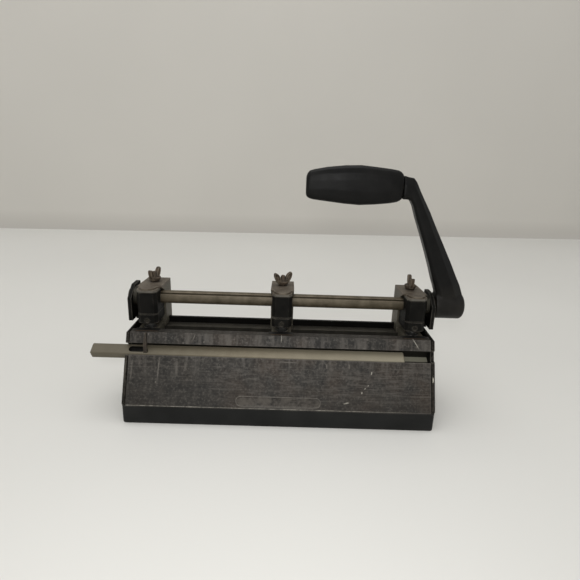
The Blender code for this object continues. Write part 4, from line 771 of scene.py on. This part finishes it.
def slotted_screws(name, body, places):
    """The screws of one size on a body, each in its solid's place: (node, way its head faces)."""
    spots = []
    for node, facing in places:
        low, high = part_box(node)
        axis = max(range(3), key=lambda i: abs(facing[i]))
        spot = (low + high) / 2
        spot[axis] = high[axis] if facing[axis] > 0 else low[axis]
        spots.append(spot)
    points = bpy.data.meshes.new(f"{name}_points")
    points.from_pydata(spots, [], [])
    facings = points.attributes.new("facing", "FLOAT_VECTOR", "POINT")
    facings.data.foreach_set("vector", [part for _, facing in places for part in facing])
    holder = bpy.data.objects.new(f"{name}_points", points)
    bpy.context.scene.collection.objects.link(holder)
    maker = holder.modifiers.new("screws", "NODES")
    maker.node_group = screw_tree
    head_radius = (high[(axis + 1) % 3] - low[(axis + 1) % 3]) / 2
    values = {"Length": high[axis] - low[axis], "Head Radius": head_radius}
    values |= {"Radius": head_radius * SHANK_SHARE, "Head Height": head_radius * HEAD_HEIGHT_SHARE}
    values |= {"Slot Width": head_radius * SLOT_WIDTH_SHARE, "Slot Depth": head_radius * SLOT_DEPTH_SHARE}
    values |= {"Seed": SCREW_SEED, "Finish": screw_steel}
    for item in screw_tree.interface.items_tree:
        if item.name in values:
            maker[item.identifier] = values[item.name]
    bm = evaluated_mesh(holder)
    round_edges(bm, SCREW_EDGE)
    return shown(name, bm, screw_steel, body, "screw_steel", *[node for node, _ in places])


screw_steel = oiled_steel("screw_steel", SCREW_DULL, SCREW_BRIGHT, SCREW_OIL_AND_SHADE, (0.45, 0.6), 0.35)
screw_steel.node_tree.nodes["Principled BSDF"].inputs["Specular IOR Level"].default_value = SCREW_SHEEN
sides = (("left", -1), ("right", 1))
end_places = [(f"{kind}_{side}", (way, 0, 0)) for side, way in sides for kind in BASE_SCREWS]
slotted_screws("end_screws", "base", end_places)
slotted_screws("bracket_screws", "base", [(f"bracket_screw_{side}", (way, 0, 0)) for side, way in sides])
slotted_screws("rail_screws", "base", [(f"rail_screw_{side}", (0, 0, -1)) for side, _ in sides])


# The bearing brackets are thick C-shaped plates, screwed inside the end plates and reaching forward
# over the paper slot to hold the shaft. A flanged bronze bush is pressed into each.
BRACKET_EDGE = 0.0005
BRONZE_DULL = (0.022, 0.021, 0.016)
BRONZE_RUBBED = (0.075, 0.068, 0.052)
BRONZE_OIL_AND_SHADE = (0.008, 0.0075, 0.006)
BUSH_EDGE = 0.0002

bracket_enamel = black_enamel("bracket_enamel", 0.35)
bronze = oiled_steel("oiled_bronze", BRONZE_DULL, BRONZE_RUBBED, BRONZE_OIL_AND_SHADE, (0.35, 0.55))
for side in ("left", "right"):
    dressed(f"bearing_bracket_{side}", bracket_enamel, "base", "painted_black", BRACKET_EDGE)
    dressed(f"shaft_bush_{side}", bronze, "base", "bronze", BUSH_EDGE)


# The shaft is a drawn steel bar with a milled keyway along its upper front, which turns the three
# pinions. Years of oil have tinted it a brassy brown, and the keyway is painted dark with black oil and
# painted shade.
SHAFT_BROWN = (0.064, 0.050, 0.028)
SHAFT_RUBBED = (0.20, 0.165, 0.115)
SHAFT_OIL_AND_SHADE = (0.022, 0.017, 0.010)
SHAFT_EDGE = 0.0002

shaft_steel = oiled_steel("shaft_steel", SHAFT_BROWN, SHAFT_RUBBED, SHAFT_OIL_AND_SHADE, (0.42, 0.58), 0.4)
dressed("shaft", shaft_steel, "lever", "shaft_steel", SHAFT_EDGE)
dressed("shaft_collar", screw_steel, "lever", "screw_steel", BUSH_EDGE)


# The lever's hub and bent arm are one casting in thick black japan, semi-gloss from use. A flat runs
# up its face between two sloped sides, and its set screw sits in the hub's back.
LEVER_JAPAN = (0.0020, 0.0020, 0.0019)
LEVER_JAPAN_FADED = (0.0050, 0.0048, 0.0044)
LEVER_SHEEN = 0.16
LEVER_ROUGHNESS = (0.34, 0.49)
LEVER_BARE_AND_HIGHLIGHT = (0.22, 0.19, 0.15)
LEVER_HUB = (0.020, 0.018, 0.015)
LEVER_HUB_HEIGHTS = (0.112, 0.097)
CAST_GRAIN = 0.0006
CAST_ROUNDS = {"lever_arm": 10, "lever_grip": 6}


def lever_finish():
    """Thick black japan with a soft orange peel, lighter on its outer edges as bare knocks and a painted
    highlight along its ridges, and dulled round the hub.
    """
    made, tree, shader = new_finish("lever_japan")
    age = aged(tree, 0.015, 0.0011, 0.0008, 0.004)
    paint = mixed(tree, age["Patches"], LEVER_JAPAN, LEVER_JAPAN_FADED)
    _, (_, _, height) = shaded_spot(tree)
    hub = stretched(tree, height, *LEVER_HUB_HEIGHTS, 0.0, 0.8)
    hub = times(tree, hub, stretched(tree, age["Patches"], 0, 1, 0.3, 1.0))
    paint = mixed(tree, hub, paint, LEVER_HUB)
    # Painted highlight along the ridges and outer edges, which also stands for bare knocks.
    paint = mixed(tree, times(tree, age["Wear"], 0.15), paint, LEVER_BARE_AND_HIGHLIGHT)
    tree.links.new(paint, shader.inputs["Base Color"])
    tree.links.new(stretched(tree, age["Patches"], 0, 1, *LEVER_ROUGHNESS), shader.inputs["Roughness"])
    shader.inputs["Specular IOR Level"].default_value = LEVER_SHEEN
    bumped(tree, shader, age["Grain"], 0.00010, 0.4)
    return made


def cast_copy(node):
    """A solid with the soft corners of a sand casting."""
    mesh = bpy.data.meshes.new(f"{node}_cast")
    solid_copy(node).to_mesh(mesh)
    holder = bpy.data.objects.new(f"{node}_cast", mesh)
    bpy.context.scene.collection.objects.link(holder)
    skin = holder.modifiers.new("skin", "REMESH")
    skin.mode, skin.voxel_size = "VOXEL", CAST_GRAIN
    soft = holder.modifiers.new("soft", "SMOOTH")
    soft.factor, soft.iterations = 0.5, CAST_ROUNDS[node]
    return evaluated_mesh(holder)


lever_japan = lever_finish()
for node in CAST_ROUNDS:
    shown(f"{node}_worn", cast_copy(node), lever_japan, "lever", "lever_black", node)
dressed("lever_set_screw", screw_steel, "lever", "screw_steel", SCREW_EDGE)


# Three like punch heads slide on the rail. Each frame is a C-shaped steel casting, brown with age,
# whose cap covers the punch in front and carries the clamping wing screw behind. A thin steel lip
# before each die guides the paper in over the rim.
HEAD_BROWN = (0.082, 0.064, 0.046)
HEAD_RUBBED = (0.21, 0.18, 0.14)
HEAD_OIL_AND_SHADE = (0.018, 0.014, 0.009)
HEAD_OLIVE = (0.088, 0.083, 0.062)
HEAD_COLLAR_WEAR_AND_HIGHLIGHT = (0.125, 0.120, 0.105)
HEAD_EDGE = 0.0004
HEAD_BLOTCH_SIZE = 0.006
CAP_HEIGHTS = (0.0983, 0.0989)
COLLAR_HEIGHTS = (0.0990, 0.1007)
COLLAR_FRONT_OF = (-0.003, -0.005)
HOUSING_EDGE = 0.0004
TOOL_GREY = (0.20, 0.195, 0.185)
TOOL_BRIGHT = (0.45, 0.44, 0.42)
LIP_FRONT_Y = -0.0168
LIP_REAR_Y = -0.0109
LIP_HALF = 0.0096
LIP_CORNER = 0.0016
LIP_HEIGHTS = (0.06846, 0.06868)
LIP_BLACK_AND_SHADE = (0.0045, 0.0042, 0.0035)
LIP_RUST = (0.095, 0.060, 0.036)
LIP_EDGE = 0.00006


def head_finish():
    """Oiled steel, brown on the cap, greyer down the column, and lighter round the front of the collar,
    rubbed bare and given a painted highlight on its ledge.
    """
    made = oiled_steel("head_steel", HEAD_BROWN, HEAD_RUBBED, HEAD_OIL_AND_SHADE, (0.45, 0.7), 0.45, 0.6)
    tree = made.node_tree
    coords, (_, depth, height) = shaded_spot(tree)
    worn = stretched(tree, noise(tree, coords, HEAD_BLOTCH_SIZE, 4.0, 0.6), 0.3, 0.6, 0.25, 0.85)
    column = stretched(tree, height, CAP_HEIGHTS[1], CAP_HEIGHTS[0])
    recoloured(made, times(tree, column, worn), HEAD_OLIVE)
    # Painted highlight: a lighter band along the front of the collar's ledge, mottled as worn metal.
    collar_highlight = band(tree, height, *COLLAR_HEIGHTS, 0.0002)
    collar_highlight = times(tree, collar_highlight, stretched(tree, depth, *COLLAR_FRONT_OF))
    recoloured(made, times(tree, collar_highlight, worn), HEAD_COLLAR_WEAR_AND_HIGHLIGHT)
    return made


def lip_finish():
    """Black oily steel with rust along its front edge; its black stands partly for the shade under the
    head.
    """
    made = oiled_steel("lip_steel", LIP_BLACK_AND_SHADE, SCREW_DULL, SCREW_OIL_AND_SHADE, (0.4, 0.6), 0.3)
    tree = made.node_tree
    _, (_, depth, _) = shaded_spot(tree)
    front = stretched(tree, depth, LIP_FRONT_Y + 0.0007, LIP_FRONT_Y + 0.0002)
    recoloured(made, times(tree, front, 0.8), LIP_RUST)
    return made


def lip_plate(centre):
    """A thin plate with two round front corners, a hair above the rim."""
    bm = bmesh.new()
    outline = [(LIP_HALF, LIP_REAR_Y), (-LIP_HALF, LIP_REAR_Y)]
    for side in (-1, 1):
        turns = [pi + pi / 2 * k / 6 for k in range(7)]
        arc = [(LIP_CORNER * (1 + cos(t)), LIP_CORNER * (1 + sin(t))) for t in turns]
        corner = [(side * (LIP_HALF - x), LIP_FRONT_Y + y) for x, y in arc]
        outline += corner if side < 0 else reversed(corner)
    rings = [[bm.verts.new((centre + x, y, z)) for x, y in outline] for z in LIP_HEIGHTS]
    for ring in rings:
        bm.faces.new(ring)
    for k in range(len(outline)):
        bm.faces.new((rings[0][k - 1], rings[0][k], rings[1][k], rings[1][k - 1]))
    bmesh.ops.recalc_face_normals(bm, faces=bm.faces)
    round_edges(bm, LIP_EDGE)
    return bm


head_steel = head_finish()
lip_steel = lip_finish()
housing_enamel = black_enamel("housing_enamel", 0.45)
tool_steel = oiled_steel("tool_steel", TOOL_GREY, TOOL_BRIGHT, SCREW_OIL_AND_SHADE, (0.25, 0.4), 0.9)
for place in ("left", "center", "right"):
    body = f"head_{place}"
    dressed(f"head_frame_{place}", head_steel, body, "head_steel", HEAD_EDGE)
    dressed(f"punch_housing_{place}", housing_enamel, body, "painted_black", HOUSING_EDGE)
    dressed(f"guide_block_{place}", housing_enamel, body, "painted_black", HOUSING_EDGE)
    dressed(f"die_{place}", tool_steel, body, "tool_steel", SCREW_EDGE)
    low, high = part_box(f"punch_{place}")
    shown(f"paper_lip_{place}", lip_plate((low.x + high.x) / 2), lip_steel, body, "screw_steel")
    slotted_screws(f"front_screw_{place}", body, [(f"guide_set_screw_{place}", (0, -1, 0))])
    rear_places = [(f"{kind}_{place}", (0, 1, 0)) for kind in ("housing_screw", "guide_screw")]
    slotted_screws(f"rear_screws_{place}", body, rear_places)
    dressed(f"punch_{place}", tool_steel, f"cutter_{place}", "tool_steel", SCREW_EDGE)
    dressed(f"pinion_{place}", tool_steel, f"gear_{place}", "tool_steel", SCREW_EDGE)


# A cast wing screw stands on each head and clamps it to the rail. Unpainted, they have rusted all
# over to a dry brown, a little brighter on the tips of the ears.
RUST_DARK = (0.034, 0.026, 0.018)
RUST_LIGHT = (0.115, 0.080, 0.052)
RUST_TIP = (0.20, 0.165, 0.120)
RUST_PITS_AND_SHADE = (0.012, 0.008, 0.005)
RUST_PIT_SIZE = 0.0008
RUST_ROUGHNESS = (0.6, 0.85)
RUST_METAL = 0.3
WING_STEPS = 24
WING_TURNS = {"left": 77, "center": 26, "right": 87}
WING_REACH = 0.0080
WING_RISE = 0.0092
WING_FOOT = 0.0008
WING_TALLEST_SHARE = 1.08
WING_HALF_WALL = 0.0016
STOP_EDGE = 0.0003
# Radius and height above the cap, up the bowl and the post
WING_PROFILE = (
    (0.0020, 0.0), (0.0035, 0.0), (0.0042, 0.0010), (0.0048, 0.0024), (0.0049, 0.0034), (0.0043, 0.0038),
    (0.0026, 0.0036), (0.0021, 0.0046), (0.0019, 0.0074), (0.0014, 0.0084), (0.0, 0.0088),
)
# Shares of the reach and the rise round an ear
EAR_SHARES = (
    (0.20, 0.14), (0.42, 0.06), (0.68, 0.20), (0.90, 0.50), (1.01, 0.82),
    (0.99, 1.02), (0.86, 1.08), (0.62, 0.98), (0.40, 0.76), (0.26, 0.46),
)
# How far in from the ear's outline, and how thick there
EAR_LAYERS = ((1.0, 0.5), (0.94, 0.95), (0.84, 1.0), (0.70, 0.5), (0.45, 0.25), (0.12, 0.2))
EAR_POINTS = 4


def rust_finish():
    """Dry brown rust, pitted, darker in its hollows with pits and painted shade, and rubbed lighter on its
    corners.
    """
    made, tree, shader = new_finish("dry_rust")
    age = aged(tree, 0.004, RUST_PIT_SIZE, 0.0009, 0.003)
    rust = mixed(tree, age["Patches"], RUST_DARK, RUST_LIGHT)
    rust = mixed(tree, times(tree, age["Grain"], 0.4), rust, RUST_DARK)
    # Painted shade: the pit colour laid into hollows and against nearby parts.
    rust = mixed(tree, times(tree, age["Dirt And Shade"], 0.7), rust, RUST_PITS_AND_SHADE)
    rust = mixed(tree, times(tree, age["Wear"], 0.7), rust, RUST_TIP)
    tree.links.new(rust, shader.inputs["Base Color"])
    tree.links.new(stretched(tree, age["Patches"], 0, 1, *RUST_ROUGHNESS), shader.inputs["Roughness"])
    shader.inputs["Metallic"].default_value = RUST_METAL
    bumped(tree, shader, age["Grain"], 0.00025)
    return made


def rounded_loop(points, between_points):
    """A closed smooth curve through the points."""
    curve = []
    for i in range(len(points)):
        before, start, end, after = (Vector(points[(i + k) % len(points)]) for k in (-1, 0, 1, 2))
        for step in range(between_points):
            t = step / between_points
            bend = (2 * before - 5 * start + 4 * end - after) * t**2
            twist = (3 * start - before - 3 * end + after) * t**3
            curve.append((2 * start + (end - before) * t + bend + twist) / 2)
    return curve


def lathed(bm, profile):
    """A turned skin about the Z axis from (radius, height) points that start and end on it."""
    rings = []
    for radius, z in profile:
        turns = [2 * pi * k / WING_STEPS for k in range(WING_STEPS)] if radius else [0]
        rings.append([bm.verts.new((radius * cos(t), radius * sin(t), z)) for t in turns])
    for low, high in zip(rings, rings[1:]):
        for k in range(WING_STEPS):
            steps = ((low, k), (low, k + 1), (high, k + 1), (high, k))
            corners = [ring[i % len(ring)] for ring, i in steps]
            bm.faces.new(list(dict.fromkeys(corners)))


def ear(bm, side, foot):
    """One dished leaf of the wing."""
    outline = rounded_loop(EAR_SHARES, EAR_POINTS)
    middle = sum(outline, Vector((0, 0))) / len(outline)
    layers = [(scale, -thick) for scale, thick in reversed(EAR_LAYERS)] + list(EAR_LAYERS)
    rings = []
    for scale, thick in layers:
        points = [middle + (point - middle) * scale for point in outline]
        spots = [(side * WING_REACH * a, WING_HALF_WALL * thick, foot + WING_RISE * b) for a, b in points]
        rings.append([bm.verts.new(spot) for spot in spots])
    for low, high in zip(rings, rings[1:]):
        for k in range(len(outline)):
            bm.faces.new((low[k - 1], low[k], high[k], high[k - 1]))
    bm.faces.new(rings[0])
    bm.faces.new(rings[-1])


def wing_screw(place):
    low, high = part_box(f"wing_screw_{place}")
    seat = high.z - WING_FOOT - WING_RISE * WING_TALLEST_SHARE
    bm = bmesh.new()
    stem = [(0, low.z), (WING_PROFILE[0][0], low.z)]
    lathed(bm, stem + [(radius, seat + up) for radius, up in WING_PROFILE])
    for side in (-1, 1):
        ear(bm, side, seat + WING_FOOT)
    bmesh.ops.recalc_face_normals(bm, faces=bm.faces)
    turn = Matrix.Rotation(radians(WING_TURNS[place]), 4, "Z")
    centre = Matrix.Translation(((low.x + high.x) / 2, (low.y + high.y) / 2, 0))
    bmesh.ops.transform(bm, matrix=centre @ turn, verts=bm.verts)
    return bm


rust = rust_finish()
for place in ("left", "center", "right"):
    node = f"wing_screw_{place}"
    shown(f"{node}_worn", wing_screw(place), rust, f"clamp_{place}", "rusted_steel", node)


# The paper gauge is a long bar of square-edged steel that slides in the slope's groove, with a slot
# near its left end and a short rusted finger there that the paper's edge meets.
GAUGE_DULL = (0.195, 0.165, 0.110)
GAUGE_RUBBED = (0.27, 0.235, 0.165)
GAUGE_OIL_AND_SHADE = (0.045, 0.036, 0.022)
GAUGE_EDGE = 0.0003
SLOT_CENTRE = -0.1147
SLOT_HALF = (0.0066, 0.0026)
SLOT_PAINTED_SHADE = (0.006, 0.005, 0.0035)
BAR_DOWN = (0, -0.866, -0.5)
BAR_PALE_SPAN = (-0.04, 0.09)
BAR_SHADE_SPAN = (-0.020, -0.125)
GAUGE_SHADE = (0.070, 0.061, 0.042)
GAUGE_PALE = (0.27, 0.245, 0.18)
STOP_BROWN_AND_SHADE = (0.024, 0.019, 0.014)
STOP_SPREAD = (0.0595, 0.0690)
STOP_TIP_SHARE = 0.35


def gauge_finish():
    """Dull olive steel, darker toward its left end and paler toward its right, with its slot painted black
    as shade.
    """
    made = oiled_steel("gauge_steel", GAUGE_DULL, GAUGE_RUBBED, GAUGE_OIL_AND_SHADE, (0.5, 0.65), 0.2, 0.2)
    tree = made.node_tree
    coords, (across, _, _) = shaded_spot(tree)
    recoloured(made, stretched(tree, across, *BAR_PALE_SPAN, 0.0, 0.8), GAUGE_PALE)
    recoloured(made, stretched(tree, across, *BAR_SHADE_SPAN, 0.0, 0.7), GAUGE_SHADE)
    spots = [vert.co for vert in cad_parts["gauge_bar"].data.vertices]
    face = max(spot.dot(Vector(GROOVE_FLOOR_FACING)) for spot in spots)
    downs = [spot.dot(Vector(BAR_DOWN)) for spot in spots]
    height = add(tree, "ShaderNodeVectorMath", {0: coords, 1: GROOVE_FLOOR_FACING}, operation="DOT_PRODUCT")
    down = add(tree, "ShaderNodeVectorMath", {0: coords, 1: BAR_DOWN}, operation="DOT_PRODUCT")
    # Painted shade: the spots just below the bar's face inside the slot are painted black, as the shade in
    # the hole.
    slot = stretched(tree, height.outputs["Value"], face - 0.0001, face - 0.0004)
    centres = (SLOT_CENTRE, (min(downs) + max(downs)) / 2)
    for value, centre, half in zip((across, down.outputs["Value"]), centres, SLOT_HALF):
        off = arithmetic(tree, "ABSOLUTE", arithmetic(tree, "SUBTRACT", value, centre))
        slot = times(tree, slot, stretched(tree, off, half + 0.0003, half + 0.0001))
    recoloured(made, slot, SLOT_PAINTED_SHADE)
    return made


def paper_stop():
    """The finger, filed narrower toward its tip."""
    bm = solid_copy("paper_stop")
    low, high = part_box("paper_stop")
    middle = (low.x + high.x) / 2
    for vert in bm.verts:
        rise = (vert.co.z - STOP_SPREAD[0]) / (STOP_SPREAD[1] - STOP_SPREAD[0])
        narrow = 1 + (STOP_TIP_SHARE - 1) * min(1, max(0, rise))
        vert.co.x = middle + (vert.co.x - middle) * narrow
    round_edges(bm, STOP_EDGE / 2)
    return bm


gauge_steel = gauge_finish()
stop_rust = rust_finish()
# The finger's rust is darkened to a deep brown, partly its own colour and partly painted shade.
recoloured(stop_rust, 0.7, STOP_BROWN_AND_SHADE)
dressed("gauge_bar", gauge_steel, "gauge", "gauge_steel", GAUGE_EDGE)
shown("paper_stop_worn", paper_stop(), stop_rust, "gauge", "rusted_steel", "paper_stop")


low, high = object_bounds()
